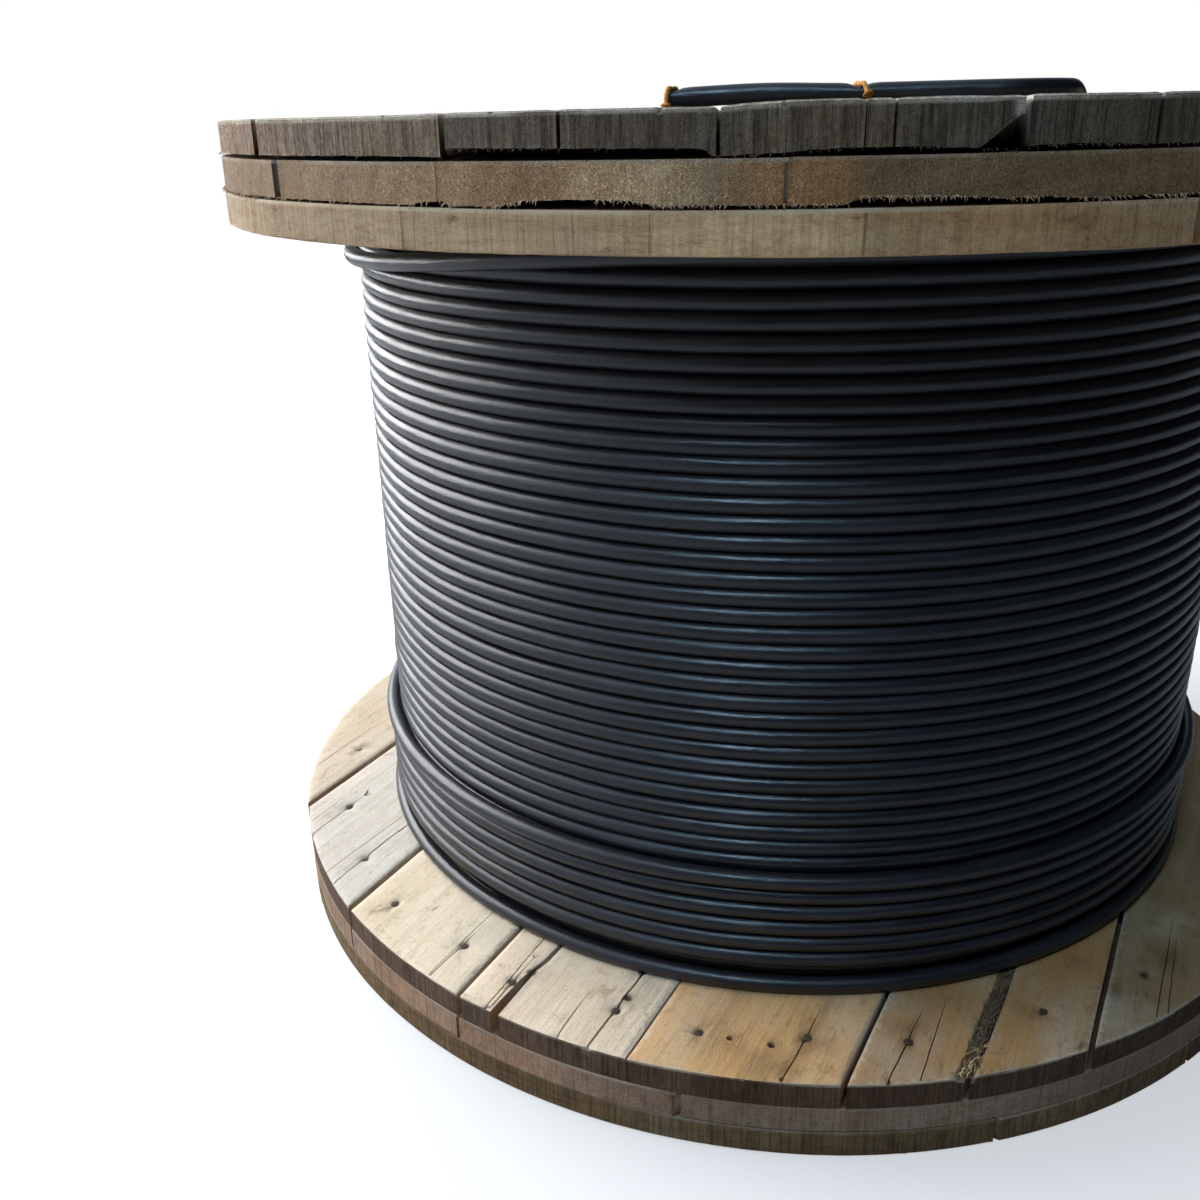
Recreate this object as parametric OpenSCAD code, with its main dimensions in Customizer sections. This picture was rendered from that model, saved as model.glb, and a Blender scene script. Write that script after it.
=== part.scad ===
// Wooden cable drum, wound full with black sheathed cable and standing on one flange.
// Origin: centre of the lower flange's resting face. +Z runs up the drum axis.
// Units: millimetres.

/* [Flanges] */
// Diameter of each flange
flange_d = 1000; // [900:10:1300]
// Thickness of one layer of boards in the lower flange
lower_board_t = 23.5; // [22:0.5:38]
// Thickness of one layer of boards in the upper flange
upper_board_t = 26; // [22:0.5:38]
// Board pitch in the lower flange and in the upper flange's inner layer
board_w = 151; // [120:1:200]
// Board pitch in the upper flange's outer and middle layers
wide_board_w = 159; // [120:1:200]
// Open joint between neighbouring boards
board_gap = 2.4; // [1:0.2:4]
// Narrowest strip that is still cut as a board of its own
strip_min = 20; // [10:1:40]

/* [Spindle hole] */
// Diameter of the hole that the spindle passes through
bore_d = 80; // [50:1:110]

/* [Barrel] */
// Diameter of the barrel over the flats of its staves
barrel_d = 500; // [400:10:600]
// Clear width between the two flanges
width_in = 572; // [450:1:720]
// Thickness of one stave
stave_t = 22; // [16:1:30]
// Number of staves round the barrel
stave_n = 24; // [16:1:36]
// Open joint between two staves
stave_gap = 0.6; // [0.5:0.1:2]
// Depth of the groove that the stave ends sit in
groove_depth = 10; // [6:1:16]
// Clearance between a stave and its groove
groove_clear = 0.3; // [0.2:0.1:0.8]

/* [Tie rods] */
// Number of tie rods
rod_n = 4; // [3:1:8]
// Diameter of a tie rod
rod_d = 12; // [10:1:20]
// Diameter of the circle that the tie rods stand on
rod_circle_d = 390; // [300:5:420]
// Diameter of the washer under each nut
washer_d = 40; // [30:1:50]
// Thickness of the washer
washer_t = 3; // [2:0.5:5]
// Width of a nut across its flats
nut_af = 19; // [16:1:30]
// Height of a nut
nut_h = 10; // [8:0.5:16]
// Depth of the recess for washer and nut
recess_depth = 17; // [14:0.5:19]
// Radial clearance round a rod in its hole
rod_clear = 0.4; // [0.2:0.1:1]

/* [Cable] */
// Diameter of the cable over its sheath
cable_d = 13.6; // [10:0.1:20]
// Outside diameter of the last full layer of turns
wound_d = 792; // [700:1:850]
// Number of turns side by side in that layer
turn_n = 42; // [30:1:54]
// Turns that were started on top of the last full layer
over_n = 6; // [0:1:12]
// Spacing of the turns of the started layer, which lie looser than those below
over_pitch = 16.2; // [14:0.1:22]
// How far the started layer stands out beyond the full one
over_rise = 9.5; // [6:0.5:12]
// How far the last turn, which lies over the full layer below the upper flange, stands out
last_rise = 12.5; // [10:0.5:14]

/* [Cable end on the upper flange] */
// Clearance round the cable in the hole through the upper flange
exit_clear = 2; // [1.5:0.5:5]
// Slope at which the cable climbs through the flange
exit_slope = 40; // [30:1:60]
// Radius of the bends where the cable turns flat and then sideways
end_bend_r = 60; // [50:1:90]
// Straight length of cable that lies on the flange
end_length = 228; // [120:1:260]
// Diameter of the nails that clamp the cable end
nail_d = 3.4; // [2.8:0.1:5]
// Diameter of a nail's head
nail_head_d = 7.5; // [6:0.1:10]
// Thickness of a nail's head
nail_head_t = 1.4; // [1:0.1:2]
// How far a nail is driven into the boards
nail_in = 20; // [10:1:22]

/* [Hidden] */
$fn = 96;

flange_r = flange_d / 2;
lower_t = 3 * lower_board_t;
upper_t = 3 * upper_board_t;
z_upper = lower_t + width_in;
drum_h = z_upper + upper_t;

// Staves: flat outer faces at barrel_d, corners a little further out
stave_corner_r = barrel_d / 2 / cos(180 / stave_n);
stave_in_r = barrel_d / 2 - stave_t;
groove_out_r = stave_corner_r + groove_clear;
groove_in_r = stave_in_r - groove_clear;
stave_seat = 0.2;

// Tie rod stack, measured from a flange's outside face
rod_end = recess_depth - washer_t - nut_h;
rod_below = max(1, rod_end - 3);

// Winding
turn_pitch = width_in / turn_n;
full_r = wound_d / 2;
wind_in_r = stave_corner_r + groove_clear;

// Direction of the boards in each layer, and the sideways shift of the middle board
LOWER_OUTER = [-20, 0];
LOWER_MIDDLE = [34, 0];
LOWER_INNER = [70, 0];
UPPER_INNER = [-17, 15];
UPPER_MIDDLE = [37, 0];
UPPER_OUTER = [93, -15];

// The cable end leaves the first layer beside the barrel, climbs through a slanted hole in
// the upper flange along the barrel's tangent, turns flat and then sideways, and lies on top.
cable_r = cable_d / 2;
exit_r = wind_in_r + cable_r + 2;
exit_az = -22.5;
exit_heading = exit_az - 90;
end_heading = -180;
exit_point = [exit_r * cos(exit_az), exit_r * sin(exit_az), z_upper];
lie = cable_r + 0.3;
level_drop = end_bend_r * (1 - cos(exit_slope));
climb = upper_t + lie - level_drop;

// Where each clamping nail stands along the lying length (0 to 1) and how it is turned
NAILS = [[0.41, 24], [0.985, -20]];

function along(h) = [cos(h), sin(h), 0];

// A point of the upright bend, where the cable still climbs at a degrees
function bend_point(a) = level_start
    + end_bend_r * (sin(exit_slope) - sin(a)) * along(exit_heading)
    + [0, 0, end_bend_r * (cos(a) - cos(exit_slope))];
level_start = exit_point + (climb / tan(exit_slope)) * along(exit_heading) + [0, 0, climb];
turn_start = level_start + (end_bend_r * sin(exit_slope)) * along(exit_heading)
    + [0, 0, level_drop];
turn_centre = turn_start + end_bend_r * along(exit_heading - 90);
lying_start = turn_centre + end_bend_r * along(end_heading + 90);

module flange_disc(h) {
    cylinder(d = flange_d, h = h, $fn = 180);
}

// One layer of parallel boards trimmed to the round flange. The boards run along lay[0]
// degrees; the last board on each side takes up any strip too narrow for its own board.
module board_layer(lay, pitch, t) {
    last = floor((flange_r - strip_min - abs(lay[1])) / pitch + 0.5);
    intersection() {
        flange_disc(t);
        rotate([0, 0, lay[0]])
            for (k = [-last:last]) {
                lo = k == -last ? -flange_r - 1 : lay[1] + (k - 0.5) * pitch + board_gap / 2;
                hi = k == last ? flange_r + 1 : lay[1] + (k + 0.5) * pitch - board_gap / 2;
                translate([-flange_r - 1, lo, 0])
                    cube([flange_d + 2, hi - lo, t]);
            }
    }
}

module at_rods() {
    for (i = [0:rod_n - 1])
        rotate([0, 0, 45 + i * 360 / rod_n])
            translate([rod_circle_d / 2, 0, 0])
                children();
}

// Holes shared by every layer: the spindle hole and the tie rod holes
module layer_holes(t) {
    translate([0, 0, -1])
        cylinder(d = bore_d, h = t + 2);
    at_rods()
        translate([0, 0, -1])
            cylinder(d = rod_d + 2 * rod_clear, h = t + 2, $fn = 32);
}

// Groove that holds the ends of the staves
module stave_groove() {
    difference() {
        cylinder(r = groove_out_r, h = groove_depth + 1, $fn = 180);
        translate([0, 0, -1])
            cylinder(r = groove_in_r, h = groove_depth + 3, $fn = 180);
    }
}

// Flat-bottomed recesses for washers and nuts
module rod_recesses() {
    at_rods()
        cylinder(d = washer_d + 4, h = recess_depth + 1, $fn = 48);
}

// The slanted way out for the cable end through the upper flange, with its lip eased where
// the cable bends over it
module exit_hole() {
    half = exit_slope / 2;
    translate(exit_point)
        rotate([0, 0, exit_heading])
            rotate([0, 90 - exit_slope, 0])
                translate([0, 0, -2 * upper_t])
                    cylinder(d = cable_d + 2 * exit_clear, h = 5 * upper_t, $fn = 48);
    translate(bend_point(half))
        rotate([0, 0, exit_heading])
            rotate([0, 90 - half, 0])
                translate([0, 0, -cable_r])
                    cylinder(d = cable_d + 2 * exit_clear + 2, h = 5 * cable_d, $fn = 48);
}

module lower_outer_boards() {
    color("#8a7556")
        difference() {
            board_layer(LOWER_OUTER, board_w, lower_board_t);
            layer_holes(lower_board_t);
            translate([0, 0, -1])
                rod_recesses();
        }
}

module lower_middle_boards() {
    color("#8d7858")
        translate([0, 0, lower_board_t])
            difference() {
                board_layer(LOWER_MIDDLE, board_w, lower_board_t);
                layer_holes(lower_board_t);
            }
}

module lower_inner_boards() {
    color("#c4a77c")
        translate([0, 0, 2 * lower_board_t])
            difference() {
                board_layer(LOWER_INNER, board_w, lower_board_t);
                layer_holes(lower_board_t);
                translate([0, 0, lower_board_t - groove_depth])
                    stave_groove();
            }
}

module upper_inner_boards() {
    color("#9b8157")
        difference() {
            translate([0, 0, z_upper])
                board_layer(UPPER_INNER, board_w, upper_board_t);
            translate([0, 0, z_upper])
                layer_holes(upper_board_t);
            translate([0, 0, z_upper - 1])
                stave_groove();
            exit_hole();
        }
}

module upper_middle_boards() {
    color("#7b6a50")
        difference() {
            translate([0, 0, z_upper + upper_board_t])
                board_layer(UPPER_MIDDLE, wide_board_w, upper_board_t);
            translate([0, 0, z_upper + upper_board_t])
                layer_holes(upper_board_t);
            exit_hole();
        }
}

module upper_outer_boards() {
    color("#5b5146")
        difference() {
            translate([0, 0, drum_h - upper_board_t])
                board_layer(UPPER_OUTER, wide_board_w, upper_board_t);
            translate([0, 0, drum_h - upper_board_t])
                layer_holes(upper_board_t);
            translate([0, 0, drum_h - recess_depth])
                rod_recesses();
            exit_hole();
            nail_holes();
        }
}

// One stave: a flat board with bevelled edges, so that the ring closes
module stave() {
    half = 180 / stave_n;
    y_out = barrel_d / 2 * tan(half) - stave_gap / 2;
    y_in = stave_in_r * tan(half) - stave_gap / 2;
    z0 = lower_t - groove_depth + stave_seat;
    translate([0, 0, z0])
        linear_extrude(height = width_in + 2 * (groove_depth - stave_seat))
            polygon([
                [stave_in_r, -y_in], [barrel_d / 2, -y_out],
                [barrel_d / 2, y_out], [stave_in_r, y_in]]);
}

module barrel_staves() {
    color("#b99c70")
        for (i = [0:stave_n - 1])
            rotate([0, 0, (i + 0.5) * 360 / stave_n])
                stave();
}

module tie_rods() {
    color("#8d8f92")
        at_rods()
            translate([0, 0, rod_below])
                cylinder(d = rod_d, h = drum_h - 2 * rod_below, $fn = 32);
}

module washer() {
    difference() {
        cylinder(d = washer_d, h = washer_t, $fn = 48);
        translate([0, 0, -1])
            cylinder(d = rod_d + 1, h = washer_t + 2, $fn = 32);
    }
}

module tie_washers() {
    color("#9a9c9e")
        at_rods() {
            translate([0, 0, recess_depth - washer_t])
                washer();
            translate([0, 0, drum_h - recess_depth])
                washer();
        }
}

module nut() {
    difference() {
        cylinder(d = nut_af / cos(30), h = nut_h, $fn = 6);
        translate([0, 0, -1])
            cylinder(d = rod_d + 0.2, h = nut_h + 2, $fn = 32);
    }
}

module tie_nuts() {
    color("#a5a6a8")
        at_rods() {
            translate([0, 0, recess_depth - washer_t - nut_h])
                nut();
            translate([0, 0, drum_h - recess_depth + washer_t])
                nut();
        }
}

// The wound cable as one turned solid, with the turns of its outermost layers in relief
module cable_winding() {
    color("#2b2c31")
        translate([0, 0, lower_t])
            rotate_extrude($fn = 180) {
                translate([wind_in_r, 0])
                    square([full_r - cable_r - wind_in_r, width_in]);
                for (i = [0:turn_n - 1])
                    translate([full_r - cable_r, (i + 0.5) * turn_pitch])
                        circle(r = min(cable_r, turn_pitch / 2), $fn = 32);
                translate([full_r - cable_r, cable_r])
                    square([over_rise, max(0.1, over_n * over_pitch)]);
                for (i = [0:over_n])
                    translate([full_r - cable_r + over_rise, cable_r + i * over_pitch])
                        circle(r = cable_r, $fn = 32);
                translate([full_r - cable_r, width_in - 1.5 * cable_r])
                    square([last_rise, cable_r]);
                translate([full_r - cable_r + last_rise, width_in - cable_r])
                    circle(r = cable_r, $fn = 32);
            }
}

// The cable end's centre line, and the height that it springs up between its nails
function hump(u) = u < NAILS[0][0] ? 0
    : 1.5 * pow(sin(180 * (u - NAILS[0][0]) / (1 - NAILS[0][0])), 2);
function end_points() = concat(
    [for (u = [0, 0.12, 0.55]) exit_point + u * (level_start - exit_point)],
    [for (a = [exit_slope:-8:1]) bend_point(a)],
    [for (h = [exit_heading:-(exit_heading - end_heading) / 8:end_heading + 1])
        turn_centre + end_bend_r * along(h + 90)],
    [for (u = [0:1 / 12:1]) lying_start + u * end_length * along(end_heading) + [0, 0, hump(u)]]);

// One ring of the cable round c, square to the direction d
function ring(c, d, r, n) =
    let (
        side = cross([d[0], d[1], 0], [0, 0, 1]) / norm([d[0], d[1]]),
        up = cross(side, d))
    [for (k = [0:n - 1]) c + r * (cos(k * 360 / n) * side + sin(k * 360 / n) * up)];

function unit(v) = v / norm(v);

// A round cable swept along the points p. Its first end is cut level, where it leaves the
// winding; its last end is cut square.
module swept_cable(p, r, n) {
    m = len(p);
    dirs = [for (i = [0:m - 1]) unit(p[min(i + 1, m - 1)] - p[max(i - 1, 0)])];
    first = [for (k = [0:n - 1])
        p[0] + r * (cos(k * 360 / n) * unit(cross([dirs[0][0], dirs[0][1], 0], [0, 0, 1]))
            - sin(k * 360 / n) * unit([dirs[0][0], dirs[0][1], 0]))];
    polyhedron(
        points = concat(first, [for (i = [1:m - 1]) each ring(p[i], dirs[i], r, n)]),
        faces = concat(
            [[for (k = [0:n - 1]) k]],
            [for (i = [0:m - 2]) for (k = [0:n - 1])
                [i * n + k, (i + 1) * n + k, (i + 1) * n + (k + 1) % n, i * n + (k + 1) % n]],
            [[for (k = [n - 1:-1:0]) (m - 1) * n + k]]));
}

module cable_end() {
    color("#26272b")
        swept_cable(end_points(), cable_r, 12);
}

nail_seat = cable_r + nail_d / 2 + 0.9;

module at_nails() {
    for (q = NAILS)
        translate(lying_start + q[0] * end_length * along(end_heading) - [0, 0, lie])
            rotate([0, 0, q[1]])
                children();
}

module nail_holes() {
    at_nails()
        translate([0, nail_seat, -nail_in - 0.5])
            cylinder(d = nail_d + 0.2, h = nail_in + 2, $fn = 24);
}

// A round nail driven in behind the cable, bent over it, its head in front
module clamp_nail() {
    top = lie + cable_r + nail_d / 2 + 1.8;
    bend = 5;
    translate([0, nail_seat, -nail_in])
        cylinder(d = nail_d, h = nail_in + top - bend, $fn = 24);
    translate([0, nail_seat - bend, top - bend])
        rotate([90, 0, 90])
            rotate_extrude(angle = 90, $fn = 24)
                translate([bend, 0])
                    circle(d = nail_d, $fn = 24);
    translate([0, nail_seat - bend, top])
        rotate([90, 0, 0])
            cylinder(d = nail_d, h = 2 * nail_seat - bend, $fn = 24);
    translate([0, -nail_seat, top])
        rotate([90, 0, 0])
            cylinder(d = nail_head_d, h = nail_head_t, $fn = 24);
}

module clamp_nails() {
    color("#a8642a")
        at_nails()
            clamp_nail();
}

lower_outer_boards();
lower_middle_boards();
lower_inner_boards();
upper_inner_boards();
upper_middle_boards();
upper_outer_boards();
barrel_staves();
tie_rods();
tie_washers();
tie_nuts();
cable_winding();
cable_end();
clamp_nails();
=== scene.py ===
import math
import random

import bpy
from mathutils import Matrix, Vector, noise
from mathutils.geometry import delaunay_2d_cdt


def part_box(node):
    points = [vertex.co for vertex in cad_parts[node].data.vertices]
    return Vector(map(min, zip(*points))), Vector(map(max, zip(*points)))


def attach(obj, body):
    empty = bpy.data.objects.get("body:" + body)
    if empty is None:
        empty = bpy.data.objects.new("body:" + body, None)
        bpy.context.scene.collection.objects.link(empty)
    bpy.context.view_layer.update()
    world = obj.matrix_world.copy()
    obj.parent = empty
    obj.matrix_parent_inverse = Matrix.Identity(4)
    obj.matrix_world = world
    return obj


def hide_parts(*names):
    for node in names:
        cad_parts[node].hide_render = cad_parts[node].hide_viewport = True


# The looks of a wooden cable drum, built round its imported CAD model. Metres throughout.
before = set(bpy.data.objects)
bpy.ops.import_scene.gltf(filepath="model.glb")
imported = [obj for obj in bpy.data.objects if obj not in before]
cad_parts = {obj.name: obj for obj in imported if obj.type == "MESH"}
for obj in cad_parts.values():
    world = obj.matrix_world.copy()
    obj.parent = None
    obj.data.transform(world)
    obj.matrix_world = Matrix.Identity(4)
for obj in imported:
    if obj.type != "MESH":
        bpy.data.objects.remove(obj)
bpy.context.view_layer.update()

# ---------------------------------------------------------------- driving sizes

LAYERS = {
    # node: direction of its boards in degrees, sideways shift, board pitch
    "lower_outer_boards": (-20, 0.0, 0.151),
    "lower_middle_boards": (34, 0.0, 0.151),
    "lower_inner_boards": (70, 0.0, 0.151),
    "upper_inner_boards": (-17, 0.015, 0.151),
    "upper_middle_boards": (37, 0.0, 0.159),
    "upper_outer_boards": (93, -0.015, 0.159),
}
FLANGE_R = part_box("lower_outer_boards")[1].x
LOWER_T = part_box("lower_inner_boards")[1].z
Z_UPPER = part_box("upper_inner_boards")[0].z
DRUM_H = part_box("upper_outer_boards")[1].z
BOARD_GAP = 0.0024
BORE_R = 0.040
ROD_R = 0.0064
ROD_CIRCLE_R = 0.195
RECESS_R = 0.022
RECESS_DEPTH = 0.017
STAVE_GROOVE_OUT = 0.25246
STAVE_GROOVE_IN = 0.2277
GROOVE_DEPTH = 0.010

CABLE_R = 0.0068
TURNS = 42
TURN_PITCH = (Z_UPPER - LOWER_T) / TURNS
MAIN_R = 0.396 - CABLE_R
OVER_RISE = 0.0095
OVER_TURNS = 7
LAST_RISE = 0.0125

EXIT_AZ = math.radians(-22.5)
EXIT_R = 0.26126
EXIT_SLOPE = math.radians(40)
END_BEND_R = 0.060
END_LENGTH = 0.228
LIE = CABLE_R + 0.0003
NAIL_D = 0.0034
NAILS = ((0.41, 24), (0.985, -20))  # share of the end's length, and slant in degrees

NARROWEST = 0.020   # an end board that would be narrower is left out
MOST_TRIM = 0.0007  # what a board's side may be short of its place
RIM_BAND = 0.0015   # points this near the rim belong to it
ARRIS = 0.0007      # how far the edge of a face is set in
EXIT_PLAY = 0.002   # room round the cable in its slanted hole
EXIT_LIP = 0.008    # how much longer the hole is where it comes out
CORE_BORE = 0.2525
CORE_SINK = 0.002
SCALLOP = 0.0035
CLAMP_HEAD_R = 0.00375


def rnd(*key):
    """A random number generator of its own for each named thing."""
    return random.Random("-".join(str(k) for k in key))


def wander(x, y=0.0, z=0.0):
    """Smooth noise from about -1 to 1."""
    return noise.noise(Vector((x, y, z)))


def smooth(x, a, b):
    """Eases from 0 to 1 while x runs from a to b."""
    t = min(1.0, max(0.0, (x - a) / (b - a)))
    return t * t * (3 - 2 * t)


def turned(x, y, angle):
    """A flat point turned round the drum's axis."""
    c, s = math.cos(angle), math.sin(angle)
    return c * x - s * y, s * x + c * y

def circle(u, v, radius, n):
    """Points round a circle."""
    return [(u + radius * math.cos(math.tau * i / n), v + radius * math.sin(math.tau * i / n))
            for i in range(n)]

def at_azimuth(stops, angle):
    """A value that is given at a few azimuths, in degrees, and runs straight between them."""
    degrees = (math.degrees(angle) + 180) % 360 - 180
    if degrees <= stops[0][0]:
        return stops[0][1]
    for (a, x), (b, y) in zip(stops, stops[1:]):
        if degrees <= b:
            return x + (y - x) * (degrees - a) / (b - a)
    return stops[-1][1]


def mesh_object(name, verts, faces, materials, mats=None, sharp=35):
    """A smooth-shaded mesh object that rides on the drum."""
    mesh = bpy.data.meshes.new(name)
    mesh.from_pydata(verts, [], faces)
    for m in materials:
        mesh.materials.append(m)
    if mats:
        mesh.polygons.foreach_set("material_index", mats)
    mesh.shade_smooth()
    mesh.set_sharp_from_angle(angle=math.radians(sharp))
    obj = bpy.data.objects.new(name, mesh)
    bpy.context.scene.collection.objects.link(obj)
    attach(obj, "root")
    return obj


def give(mesh, name, values, kind="FLOAT_VECTOR"):
    """Stores one value per vertex for the materials to read."""
    field = "color" if kind == "FLOAT_COLOR" else "vector"
    attribute = mesh.attributes.new(name, kind, "POINT")
    attribute.data.foreach_set(field, [x for v in values for x in v])

def loft(rings, sides):
    """Faces of a closed tube whose rings of points follow one another."""
    faces = []
    for i in range(rings - 1):
        for j in range(sides):
            a, b = i * sides + j, i * sides + (j + 1) % sides
            faces.append((a, a + sides, b + sides, b))
    faces.append(tuple(range(sides)))
    faces.append(tuple((rings - 1) * sides + j for j in reversed(range(sides))))
    return faces


# ---------------------------------------------------------------- node helpers

class Tree:
    """A material, or a given world, with short ways to add its nodes."""

    def __init__(self, name, world=None):
        self.material = world or bpy.data.materials.new(name)
        self.material.use_nodes = True
        self.nodes = self.material.node_tree.nodes
        self.links = self.material.node_tree.links
        self.shader = self.nodes["Background" if world else "Principled BSDF"]

    def put(self, socket, value):
        if isinstance(value, bpy.types.NodeSocket):
            self.links.new(value, socket)
        else:
            socket.default_value = value

    def node(self, kind, values=None, **fields):
        """A new node with its fields set, and its inputs set or linked by name or number."""
        node = self.nodes.new("ShaderNode" + kind)
        for field, value in fields.items():
            setattr(node, field, value)
        for socket, value in (values or {}).items():
            self.put(node.inputs[socket], value)
        return node

    def attribute(self, name, out="Vector"):
        return self.node("Attribute", attribute_name=name).outputs[out]

    def position(self):
        return self.node("TexCoord").outputs["Object"]

    def scaled(self, vector, scale, offset=(0, 0, 0)):
        return self.node("Mapping", {"Vector": vector, "Scale": scale, "Location": offset}).outputs[0]

    def noise(self, vector, scale=1.0, detail=4.0, rough=0.55, distort=0.0):
        values = {"Vector": vector, "Scale": scale, "Detail": detail, "Roughness": rough,
                  "Distortion": distort}
        return self.node("TexNoise", values).outputs["Fac"]

    def rings(self, vector, scale, distort, detail=2.0):
        values = {"Vector": vector, "Scale": scale, "Distortion": distort, "Detail": detail,
                  "Detail Scale": 1.0}
        look = {"wave_type": "RINGS", "rings_direction": "X", "wave_profile": "SIN"}
        return self.node("TexWave", values, **look).outputs["Fac"]

    def span(self, value, a, b, c=0.0, d=1.0):
        """Eases from c to d while value runs from a to b."""
        values = {"Value": value, "From Min": a, "From Max": b, "To Min": c, "To Max": d}
        return self.node("MapRange", values, interpolation_type="SMOOTHSTEP").outputs["Result"]

    def math(self, operation, a, b=0.0):
        return self.node("Math", {0: a, 1: b}, operation=operation).outputs[0]

    def mix(self, fac, a, b, blend="MIX"):
        pair = [c if isinstance(c, bpy.types.NodeSocket) or len(c) == 4 else (*c, 1.0) for c in (a, b)]
        values = {0: fac, 6: pair[0], 7: pair[1]}
        return self.node("Mix", values, data_type="RGBA", blend_type=blend).outputs[2]

    def glaze(self, colour, value, low, high, much, by):
        """Multiplies a colour by another one, more as value runs from low to high."""
        return self.mix(self.span(value, low, high, 0.0, much), colour, by, "MULTIPLY")

    def parts(self, vector):
        return self.node("SeparateXYZ", {0: vector}).outputs

    def veins(self, vector, scale, detail, distort, width):
        """Thin winding lines: where a noise crosses its middle value."""
        wave = self.noise(vector, scale, detail, 0.5, distort)
        off = self.math("ABSOLUTE", self.math("SUBTRACT", wave, 0.5))
        return self.span(off, 0.0, width, 1.0, 0.0)

    def bump(self, height, strength, distance, normal=None):
        values = {"Strength": strength, "Distance": distance, "Height": height}
        if normal is not None:
            values["Normal"] = normal
        return self.node("Bump", values).outputs[0]

    def surface(self, colour, roughness, normal, metallic=0.0, specular=0.5):
        """Puts these on the shader's sockets."""
        values = {"Base Color": colour, "Roughness": roughness, "Normal": normal,
                  "Metallic": metallic, "Specular IOR Level": specular}
        for socket, value in values.items():
            self.put(self.shader.inputs[socket], value)
        return self.material

# ---------------------------------------------------------------- materials

def saw_marks(t, colour, saw, cuts):
    """Strokes that the saw left across a rim, and hairlines in it."""
    place = t.parts(t.position())
    around = t.math("ARCTAN2", place[1], place[0])
    flat = t.node("CombineXYZ", {0: t.math("MULTIPLY", around, 0.5), 2: place[2]}).outputs[0]
    strokes = t.noise(t.scaled(flat, (420, 1, 22)), 1, 4, 0.65)
    wide = t.noise(t.scaled(flat, (70, 1, 9)), 1, 4, 0.6)
    colour = t.glaze(colour, strokes, 0.42, 0.66, saw, (0.38, 0.33, 0.3))
    colour = t.glaze(colour, wide, 0.42, 0.7, saw * 0.7, (0.5, 0.44, 0.4))
    colour = t.glaze(colour, strokes, 0.46, 0.28, saw * 0.4, (1.5, 1.45, 1.4))
    hairlines = t.veins(t.scaled(flat, (105, 1, 0.9)), 1, 1, 0.0, 0.010)
    colour = t.mix(t.math("MULTIPLY", hairlines, cuts), colour, (0.3, 0.24, 0.2), "MULTIPLY")
    return colour, strokes

def worn_grit(t, grain, colour, grit):
    """A fine nap, smudges and scratches."""
    nap = t.noise(t.scaled(grain, (420, 1100, 1100)), 1, 5, 0.75, 1.5)
    smudge = t.noise(t.scaled(grain, (38, 60, 60), (5, 2, 1)), 1, 6, 0.68, 1.2)
    scratch = t.veins(t.scaled(grain, (9, 75, 75), (2, 9, 4)), 1, 3, 0.8, 0.010)
    scratch = t.math("MULTIPLY", scratch, t.span(smudge, 0.50, 0.66, 0.0, grit * 0.8))
    colour = t.glaze(colour, nap, 0.5, 0.32, grit, (0.52, 0.46, 0.40))
    colour = t.glaze(colour, nap, 0.52, 0.7, grit, (1.28, 1.25, 1.2))
    colour = t.glaze(colour, smudge, 0.52, 0.74, grit, (0.62, 0.55, 0.47))
    colour = t.mix(scratch, colour, (0.28, 0.22, 0.17), "MULTIPLY")
    return colour, t.math("SUBTRACT", nap, scratch)

def torn_fleece(t, patches, colour, fuzz):
    """Curled fibres that a blunt saw left standing."""
    wool = t.noise(t.position(), 520, 6, 0.75, 2.2)
    curls = t.veins(t.position(), 240, 1, 0.9, 0.05)
    strands = t.veins(t.scaled(t.position(), (1, 1, 0.7), (0.3, 0.2, 0.1)), 380, 1, 1.2, 0.06)
    fleece = t.math("MAXIMUM", curls, strands)
    colour = t.glaze(colour, wool, 0.53, 0.41, fuzz, (0.50, 0.44, 0.39))
    bright = t.math("MULTIPLY", fleece, t.span(patches, 0.36, 0.6, 0.35 * fuzz, fuzz))
    colour = t.mix(bright, colour, (1.5, 1.5, 1.5), "MULTIPLY")
    return colour, t.math("ADD", wool, fleece)

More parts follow.
